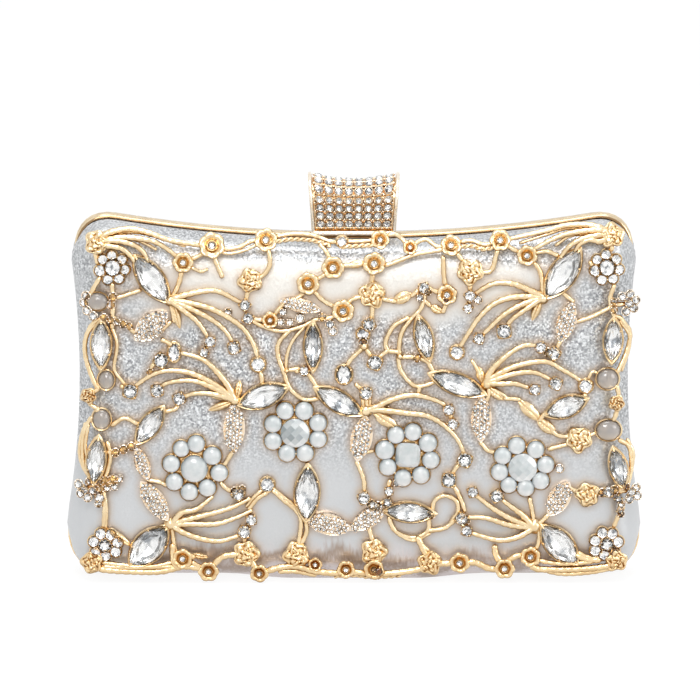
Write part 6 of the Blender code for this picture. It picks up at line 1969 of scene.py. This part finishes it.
@dataclass
class Stones:
    """The larger stones: marquise crystals, flowers, ovals and singles.

    The claws of a tray are given by their share of the way out and their radius, and the claw
    of a bezel by its radius at its heel and tip.
    """

    case: Case
    lift: float = 0.0003
    crystal_rise: float = 0.0046
    pearl_rise: float = 0.0034
    pearl_foot: float = 0.0008
    brilliant_rise: float = 0.0030
    oval_rise: float = 0.0032
    tray_standoff: float = 0.0007
    tray_share: float = 0.82
    tray_claws: tuple[Pair, Pair] = ((0.56, 0.00048), (0.92, 0.00055))
    collar: float = 0.00045
    bezel: float = 0.0006
    bezel_foot: float = 0.0004
    smooth_bezel_rise: float = 0.0019
    cut_bezel_rise: float = 0.0018
    claws: int = 6
    claw: Pair = (0.00045, 0.00034)
    claw_out: float = 0.0005
    checker_rows: int = 5
    crowns: tuple[Crown, ...] = (Crown.DOME, Crown.DEEP_CHECKER, Crown.CUSHION, Crown.FAINT_CHECKER)

    def crystals(self, cage: Cage) -> None:
        """Builds the clear marquise crystals, one piece each.

        Args:
            cage: The cage that holds them.
        """
        for name, *tips, width in CRYSTAL_PIXELS:
            seat, half_long = cage.leaf_seat(tips, self.lift)
            body, rise = Body(), self.crystal_rise
            body.stone(seat, half_long, width * self.case.pixel / 2, (0.0, rise * 0.42, rise), 10, 0.70,
                       Cut.MARQUISE)
            body.piece(f"{name}_cut", [GLASS, SOFT_FOIL], 8, name)

    def dome(self, body: Body, seat: Seat, radius: float, low: float, top: float,
             squeeze: float = 1.0) -> None:
        """Adds a smooth cabochon whose painted shade rises towards its rim.

        Args:
            body: The piece that takes it.
            seat: The place and axes that it stands on.
            radius: Its radius.
            low: The height of its foot.
            top: The height of its crown.
            squeeze: Its width across up, as a share of the radius.
        """
        profile = [(radius * 0.9, low, 0.9), (radius, low + (top - low) * 0.25, 0.9)]
        for i in range(1, 8):
            angle = math.pi / 2 * i / 7
            out, rise = math.cos(angle), 0.25 + 0.75 * math.sin(angle)
            profile.append((radius * max(out, 0.03), low + (top - low) * rise, 0.9 * out ** 2))
        body.turn(seat, profile, 28, squeeze=squeeze)

    def checker(self, body: Body, seat: Seat, radius: float, low: float, top: float,
                depth: float) -> None:
        """Adds a cabochon cut all over with square flats, as on a checkerboard.

        Args:
            body: The piece that takes it.
            seat: The place and axes that it stands on.
            radius: Its radius.
            low: The height of its foot.
            top: The height of its crown.
            depth: How dark the painted shade on the flats of its far side is, from 0 to 1.
        """
        foot, base = ([seat.polar(radius * share, TURN * k / 20, low + (top - low) * rise)
                       for k in range(20)] for share, rise in ((0.9, 0.0), (1.0, 0.3)))
        # Painted shade on the foot rings
        body.loft([foot, base], painted_shades=[0.9, 0.9])
        step = 2 * radius / self.checker_rows
        for i in range(self.checker_rows):
            for j in range(self.checker_rows):
                corners = []
                for di, dj in ((0, 0), (1, 0), (1, 1), (0, 1)):
                    spot = Vector((step * (i + di) - radius, step * (j + dj) - radius))
                    spot *= min(1.0, radius * 0.98 / max(spot.length, 1e-9))
                    dome = math.sqrt(1 - spot.length_squared / radius ** 2)
                    corners.append(seat.at(*spot, low + (top - low) * (0.32 + 0.68 * dome)))
                # Painted shade, darker towards the far side and a little darker on every other flat
                lean = 0.5 - 0.62 * (step * (i + 0.5) / radius - 1) + 0.22 * ((i + j) % 2)
                body.add(corners, [(0, 1, 2, 3)],
                         [0.35 + 0.65 * depth * max(0.0, min(1.0, lean))] * 4)

    def cushion(self, body: Body, seat: Seat, radius: float, low: float, top: float) -> None:
        """Adds a squarish cabochon with one flat top, with painted shade on its far sides.

        Args:
            body: The piece that takes it.
            seat: The place and axes that it stands on.
            radius: Its radius.
            low: The height of its foot.
            top: The height of its flat.
        """
        start = len(body.points)
        body.turn(seat, [(radius * 0.72, low), (radius * 0.84, top * 0.55), (radius * 0.60, top),
                         (radius * 0.02, top)], 32, cut=Cut.SQUARE)
        # Painted shade by place: the far sides darker, the flat top even
        for spot in range(start, len(body.points)):
            off = body.points[spot] - seat.origin
            lean = -(off.dot(seat.across) + off.dot(seat.up)) / radius
            flat = off.dot(seat.out) > top * 0.9
            body.painted_shades[spot] = 0.5 if flat else 0.35 + 0.65 * max(0.0, min(1.0, lean))

    def pearl_flowers(self) -> None:
        """Builds the flowers of milky cabochons in their gold trays, each with its own middle."""
        for crown, (name, middle, petals) in zip(self.crowns, PEARL_FLOWER_PIXELS):
            milk, metal, low = Body(), Body(), self.pearl_foot
            for spot in [*petals, middle]:
                petal = spot is not middle
                reach = spot[2] * self.case.pixel * (0.99 if petal else 0.98)
                seat = self.case.seat(*spot[:2], reach, self.tray_standoff)
                top = self.pearl_rise * (0.97 if petal else 1.05)
                if petal or crown is Crown.DOME:
                    self.dome(milk, seat, reach, low, top)
                elif crown is Crown.CUSHION:
                    self.cushion(milk, seat.turned(-0.06), reach, low, top)
                else:
                    depth = 0.9 if crown is Crown.DEEP_CHECKER else 0.4
                    self.checker(milk, seat.turned(TURN / 8), reach, low, top, depth)
                thin = self.collar * 0.9
                # The third number of each station is painted shade
                metal.band(seat, [(reach * 0.98, 0.0, 0.8), (reach + thin, 0.0, 0.6),
                                  (reach + thin, 0.0008, 0.1), (reach + thin * 0.4, 0.0010, 0.0),
                                  (reach * 0.97, 0.0009, 0.4)], 28)
            self.tray(metal, middle, petals, 0.0017)
            milk.piece(f"{name}_cabochons", [MILKY], 40 if crown is Crown.DOME else 12, name)
            metal.piece(f"{name}_tray", [CAST_GOLD], 60)

    def tray(self, metal: Body, middle: Sequence[float], petals: Sequence[Sequence[float]],
             height: float) -> None:
        """Adds the tray under a flower, and a claw where two petals and the middle meet.

        Args:
            metal: The piece that takes it.
            middle: The column, row and radius of the flower's middle.
            petals: The same of each petal.
            height: How high the claws stand.
        """
        centre = Vector(middle[:2])
        for first, after in zip(petals, [*petals[1:], petals[0]]):
            for share, size in self.tray_claws:
                between = (Vector(first[:2]) + Vector(after[:2])) / 2
                seat = self.case.seat(*centre.lerp(between, share * 1.12), 1 * MM, self.tray_standoff)
                metal.rod(seat.at(0, 0, 0.0002), seat.at(0, 0, height), size, size * 0.8, 7)
        seat = self.case.seat(*centre, 3 * MM, self.tray_standoff)
        place = self.case.on_face(*centre)
        spans = [(self.case.on_face(*petal[:2]) - place).length for petal in petals]
        reach = sum(spans) / len(petals) * self.tray_share
        metal.turn(seat, [(reach, 0.0, 0.0), (reach, 0.0004, 0.0), (reach * 0.1, 0.0004, 0.0)], 24)

    def brilliant_flowers(self) -> None:
        """Builds the corner flowers of clear stones."""
        for name, middle, petals in BRILLIANT_FLOWER_PIXELS:
            glass, metal = Body(), Body()
            rise, wall = self.brilliant_rise, self.collar
            for column, row, radius in [*petals, middle]:
                reach = radius * self.case.pixel * 0.92
                seat = self.case.seat(column, row, reach, self.tray_standoff)
                glass.stone(seat, reach, reach, (0.0009, rise * 0.52, rise), 8, 0.54)
                # The third number of each station is painted shade
                metal.band(seat, [(reach, 0.0, 0.8), (reach + wall, 0.0, 0.6),
                                  (reach + wall, rise * 0.5, 0.0),
                                  (reach + wall * 0.4, rise * 0.62, 0.0),
                                  (reach * 0.98, rise * 0.56, 0.3)], 22)
            self.tray(metal, middle, petals, rise * 0.66)
            glass.piece(f"{name}_stones", [GLASS, FOIL], 8, name)
            metal.piece(f"{name}_tray", [CAST_GOLD], 60)

    def singles(self) -> None:
        """Builds the ovals and the larger round stones, with their bezels."""
        metal, rise = Body(), self.brilliant_rise
        for name, column, row, across, down in OVAL_PIXELS:
            half_x, half_z = across * self.case.pixel, down * self.case.pixel
            seat = self.case.seat(column, row, min(half_x, half_z), self.lift)
            squeeze, smooth, body = half_z / half_x, name.startswith("moonstone"), Body()
            if smooth:
                self.dome(body, seat, half_x, 0.0, self.oval_rise, squeeze)
                body.piece(f"{name}_cabochon", [MOONSTONE], 40, name)
            else:
                body.stone(seat, half_x, half_z, (rise * 0.28, rise * 0.5, rise), 10, 0.55)
                body.piece(f"{name}_cut", [GLASS, FOIL], 8, name)
            height, outer = self.smooth_bezel_rise if smooth else self.cut_bezel_rise, half_x + self.bezel
            # The third number of each station is painted shade
            metal.band(seat, [(half_x * 1.01, self.bezel_foot, 0.8), (outer, self.bezel_foot, 0.6),
                              (outer, height * 0.85, 0.0), (half_x + self.bezel / 2, height, 0.0),
                              (half_x * 0.995, height * 0.9, 0.3)], 32, squeeze=squeeze)
            for k in range(0 if smooth else self.claws):
                angle = TURN * (k + 0.5) / self.claws
                heel = seat.at((half_x + self.claw_out) * math.cos(angle),
                               (half_z + self.claw_out) * math.sin(angle), height * 0.6)
                metal.rod(heel, seat.polar(half_x * 0.94, angle, height + 0.0002, squeeze), *self.claw, 7)
        metal.piece("single_stone_bezels", [CAST_GOLD], 60)

    def build(self, cage: Cage) -> None:
        """Builds every larger stone, in the settings of the cage.

        Args:
            cage: The cage that holds them.
        """
        self.crystals(cage)
        self.pearl_flowers()
        self.brilliant_flowers()
        self.singles()


# Clasp

@dataclass
class Clasp:
    """The rocking saddle over the rails: its cast shell and the stones that cover it.

    The lips are the beads along its front and back edges, given by radius, as is the rim
    round each end plate.
    """

    case: Case
    lift: float = 0.0006
    height: float = 0.0210
    half_foot: float = 0.0145
    half_top: float = 0.0160
    depth: float = 0.0096
    wall: float = 0.0010
    recess: float = 0.0014
    flange: float = 0.0010
    dip_share: float = 0.12
    rim: float = 0.00062
    lips: Pair = (0.00105, 0.0009)
    corner_bead: float = 0.00036
    section_shares: tuple[Pair, ...] = (
        (-0.64, 0.0), (-0.84, 0.30), (-1.0, 0.58), (-0.93, 0.74), (-0.72, 0.88), (-0.38, 0.97),
        (0.0, 1.0), (0.38, 0.97), (0.72, 0.88), (0.93, 0.74), (1.0, 0.58), (0.84, 0.30), (0.71, 0.14))
    section_steps: int = 4
    columns: int = 8
    row_marks: tuple[float, ...] = (0.0446, 0.1126, 0.1767, 0.2370, 0.2990, 0.3787, 0.4583, 0.5291,
                                    0.6000, 0.6796, 0.7592, 0.8213, 0.8834, 0.9514)
    row_lifts: tuple[float, ...] = (0.0, 0.0, 0.0, 0.0, 0.45, 0.3, 0.1, 0.1, 0.3, 0.45, 0.0, 0.0, 0.0)

    def section(self, inset: float) -> list[Vector]:
        """The saddle's section from its front lip over its crest to its back lip."""
        sharp = [Vector((y * self.depth, z * self.height)) for y, z in self.section_shares]
        return offset_line(smooth_route(sharp, self.section_steps), inset)

    def place(self, u: float, y: float, z: float) -> Vector:
        """Puts a point of the section in its place: wider at the top and dipped in the middle.

        Args:
            u: Its share across, from -1 to 1.
            y: Its place from front to back.
            z: Its height.

        Returns:
            The place.
        """
        share = z / self.height
        half = self.half_foot + (self.half_top - self.half_foot) * share
        dip = 1 - self.dip_share * (1 - u * u) * share
        return Vector((u * half, self.case.hinge_y + y, self.case.rim_top + self.lift + z * dip))

    def shell(self) -> None:
        """Builds the cast shell: two flared end plates with the lowered floor between them."""
        body = Body()
        end = 1 - self.flange / self.half_foot
        floor = end - 0.004
        outer = [(-1.0, 0.0), (-end, 0.0), *((floor * u / 4, self.recess) for u in range(-4, 5)),
                 (end, 0.0), (1.0, 0.0)]
        rings = []
        for u, inset in outer:
            over = [self.place(u, *point) for point in self.section(inset)]
            below = [self.place(u * 0.999, *point) for point in self.section(self.recess + self.wall)]
            rings.append(over + below[::-1])
        body.loft(rings)
        for side in (-1, 1):
            line = [self.place(side * (1 - 0.5 * self.flange / self.half_foot), *point)
                    for point in self.section(0.0002)]
            body.tube(line, [self.rim] * len(line), 8)
        for (y, z), radius in zip((self.section_shares[0], self.section_shares[-1]), self.lips):
            line = [self.place(u / 12 * 0.97, y * self.depth, z * self.height + 0.0004)
                    for u in range(-12, 13)]
            body.tube(line, [radius] * len(line), 10)
        body.piece("clasp_saddle_cast", [CLASP_GOLD], 50, "clasp_head", body="clasp_head")

    def stones(self) -> None:
        """Builds the grid of square collars, each with a round stone and a bead at each of its two lower
        corners.
        """
        gold, glass = Body(), Body()
        reach = 1 - (self.flange + 0.0006) / self.half_foot
        base = self.recess - 0.0003
        pitch = 2 * reach / self.columns
        for j, lift in enumerate(self.row_lifts):
            marks = (self.row_marks[j], sum(self.row_marks[j:j + 2]) / 2, self.row_marks[j + 1])
            lines = [walk(self.section(base - rise), marks) for rise in (0.0, 0.0009 + lift * MM)]
            for i in range(self.columns):
                middle = -reach + pitch * (i + 0.5)
                low, high = (self.cell(line, middle, pitch) for line in lines)
                self.collar(gold, low, high)
                seat, half_u, half_v = high
                radius = min(half_u, half_v) * 0.80
                glass.stone(seat.lifted(-0.0003), radius, radius, (-0.0001, 0.0004, 0.0010), 8, 0.5)
                for across in (-1, 1):
                    corner = seat.at(across * half_u * 0.96, -half_v * 0.96, 0.0)
                    gold.ball(corner, self.corner_bead, 6)
        gold.piece("clasp_stone_collars", [CLASP_GOLD], 45, "clasp_stone_mesh", body="clasp_head")
        glass.piece("clasp_stones", [GLASS, FOIL], 8, body="clasp_head")

    def cell(self, line: Sequence[Vector], middle: float, pitch: float) -> tuple[Seat, float, float]:
        """A cell of the stone grid as a seat with its half sizes.

        Args:
            line: The section's places at the cell's lower edge, middle and upper edge.
            middle: The share across the saddle of the cell's middle.
            pitch: The share across that the cell takes.

        Returns:
            The seat at its middle, and half its width and height.
        """
        across = self.place(middle + pitch / 2, *line[1]) - self.place(middle - pitch / 2, *line[1])
        along = self.place(middle, *line[2]) - self.place(middle, *line[0])
        seat = Seat(self.place(middle, *line[1]), across.normalized(), along.normalized(),
                    across.cross(along).normalized())
        return seat, across.length / 2, along.length / 2

    def collar(self, body: Body, low: tuple[Seat, float, float],
               high: tuple[Seat, float, float]) -> None:
        """Adds one square collar with a round seat sunk in it.

        Args:
            body: The piece that takes it.
            low: The cell at the collar's foot.
            high: The cell at its top.
        """
        rings = []
        stations = ((low, 0.99, 0.0, False), (high, 0.97, -0.0003, False), (high, 0.93, -0.0001, True),
                    (high, 0.90, 0.0002, True), (high, 0.80, 0.0001, True), (high, 0.78, -0.0004, True))
        for (seat, half_u, half_v), share, rise, round_seat in stations:
            ring = []
            for k in range(20):
                u, v = (Cut.ROUND if round_seat else Cut.SQUARE).edge(TURN * k / 20)
                ring.append(seat.at(u * half_u * share, v * half_v * share, rise))
            rings.append(ring)
        # Painted shade at the collar's foot and where its round seat sinks in
        body.loft(rings, painted_shades=[0.6, 0.2, 0.0, 0.0, 0.1, 0.6])

    def build(self) -> None:
        """Builds the shell, then its stones."""
        self.shell()
        self.stones()


# Studio

@dataclass
class Studio:
    """The floor, the room's light and the camera.

    Each lamp has its name, its azimuth and elevation in degrees, its side and its power.
    """

    distance: float = 4.0
    lens: float = 587.5
    sensor: float = 36.0
    aim: tuple[float, float, float] = (-0.00132, 0.00245, 0.07886)
    tilt: float = math.radians(8)
    floor_half: float = 6.0
    glow: float = 0.85
    lamps: tuple[tuple[str, float, float, float, float], ...] = (
        ("key", -9, 32, 0.42, 4.6), ("fill", 55, 18, 0.5, 3), ("top", 0, 80, 0.7, 6.4))
    lamp_distance: float = 1.2

    def camera(self) -> None:
        """Adds a long-lens camera that looks a little down on the front."""
        data = bpy.data.cameras.new("camera")
        data.lens = self.lens
        data.sensor_width = self.sensor
        data.clip_end = 50.0
        camera = put("camera", data)
        self.aim_at(camera, 0.0, self.tilt, self.distance)
        bpy.context.scene.camera = camera

    def aim_at(self, thing: bpy.types.Object, turn: float, rise: float, far: float) -> None:
        """Places a lamp or camera so that it looks at the object.

        Args:
            thing: What is placed.
            turn: Its direction, from the front towards the right.
            rise: Its angle above the horizontal.
            far: Its distance.
        """
        level = math.cos(rise)
        away = Vector((math.sin(turn) * level, -math.cos(turn) * level, math.sin(rise)))
        thing.location = Vector(self.aim) + away * far
        thing.rotation_euler = away.to_track_quat("Z", "Y").to_euler()

    def white_share(self, node: NodeMaker) -> bpy.types.Node:
        """Finds the rays that meet plain white: the camera's, and those in metal and glass.

        Args:
            node: What adds a node to the tree.

        Returns:
            A node that gives 1 for such a ray.
        """
        seen = node("LightPath").outputs
        bent = node("Math", [seen["Is Glossy Ray"], seen["Is Transmission Ray"]], operation="MAXIMUM")
        return node("Math", [bent, seen["Is Camera Ray"]], operation="MAXIMUM")

    def world(self) -> None:
        """Sets the room: white where it is seen or mirrored, and a graded light on plain surfaces."""
        world = bpy.data.worlds.new("studio")
        world.use_nodes = True
        bpy.context.scene.world = world
        world.node_tree.nodes.clear()
        node = partial(add_node, world.node_tree)
        x, y, z = node("SeparateXYZ", [node("TexCoord").outputs["Generated"]]).outputs
        ramp = node("ValToRGB", [node("MapRange", [z, -0.4, 1.0])])
        stops = ((0.0, "#BAB6B1"), (0.27, "#9C9A98"), (0.42, "#BDBCBB"), (0.62, "#E5E4E3"),
                 (1.0, "#FFFFFF"))
        points = ramp.color_ramp.elements
        while len(points) < len(stops):
            points.new(0.5)
        for point, (position, colour) in zip(points, stops):
            point.position = position
            point.color = linear(colour)
        turned = node("Math", [x, y], operation="ARCTAN2")
        wave = node("Math", [turned, 4.0], operation="MULTIPLY")
        gaps = node("MapRange", [node("Math", [wave], operation="COSINE"), -0.8, -0.4, 0.42, 1.0])
        room = node("Mix", {0: 1.0, 6: ramp, 7: gaps}, data_type="RGBA", blend_type="MULTIPLY")
        lit = node("Background", {"Color": room, "Strength": 1.0})
        plain = node("Background", {"Color": "#FFFFFF", "Strength": 1.0})
        node("OutputWorld", [node("MixShader", [self.white_share(node), lit, plain])])

    def floor(self) -> None:
        """Adds the pale floor, which shows white to the camera but keeps the shadow."""
        half = self.floor_half
        mesh = bpy.data.meshes.new("floor")
        mesh.from_pydata([(-half, -half, 0), (half, -half, 0), (half, half, 0), (-half, half, 0)], [],
                         [(0, 1, 2, 3)])
        material = bpy.data.materials.new("pale_paper_sweep")
        material.use_nodes = True
        nodes = material.node_tree.nodes
        node = partial(add_node, material.node_tree)
        grain = node("TexNoise", {"Vector": node("TexCoord").outputs["Object"], "Scale": 1 / (2 * MM)})
        paper = node("Mix", {0: grain, 6: "#F2F2F2", 7: "#F8F8F8"}, data_type="RGBA")
        shader = feed(nodes["Principled BSDF"], {"Base Color": paper, "Roughness": 0.9})
        glow = node("Emission", {"Color": "#FFFFFF", "Strength": 1.06})
        share = node("MapRange", [self.white_share(node), 0.0, 1.0, 0.0, self.glow])
        feed(nodes["Material Output"], {"Surface": node("MixShader", [share, shader, glow])})
        mesh.materials.append(material)
        put("floor", mesh)

    def lamp(self, name: str, azimuth: float, elevation: float, size: float, watts: float) -> None:
        """Adds a square area lamp aimed at the object.

        Args:
            name: The lamp's name.
            azimuth: Its direction in degrees, from the front towards the right.
            elevation: Its height in degrees above the floor.
            size: The length of its side.
            watts: Its power.
        """
        data = bpy.data.lights.new(name, "AREA")
        data.size = size
        data.energy = watts
        self.aim_at(put(name, data), math.radians(azimuth), math.radians(elevation),
                    self.lamp_distance)

    def build(self) -> None:
        """Sets the camera, the room, the floor and the lamps."""
        self.camera()
        self.world()
        self.floor()
        for lamp in self.lamps:
            self.lamp(*lamp)
        bpy.context.scene.view_settings.view_transform = "Standard"


def main() -> None:
    logging.basicConfig(level=logging.INFO, format="%(name)s: %(message)s")
    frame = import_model()
    hinge = next(joint for joint in frame["joints"] if joint["name"] == "lid_hinge")
    case = Case(hinge_y=hinge["pos_m"][1])
    Covers(case).build()
    Frames(case).build()
    Hardware(case).build(frame["nodes"])
    Clasp(case).build()
    cage = Cage(case)
    cage.build()
    Stones(case).build(cage)
    Studio().build()


if __name__ == "__main__":
    main()
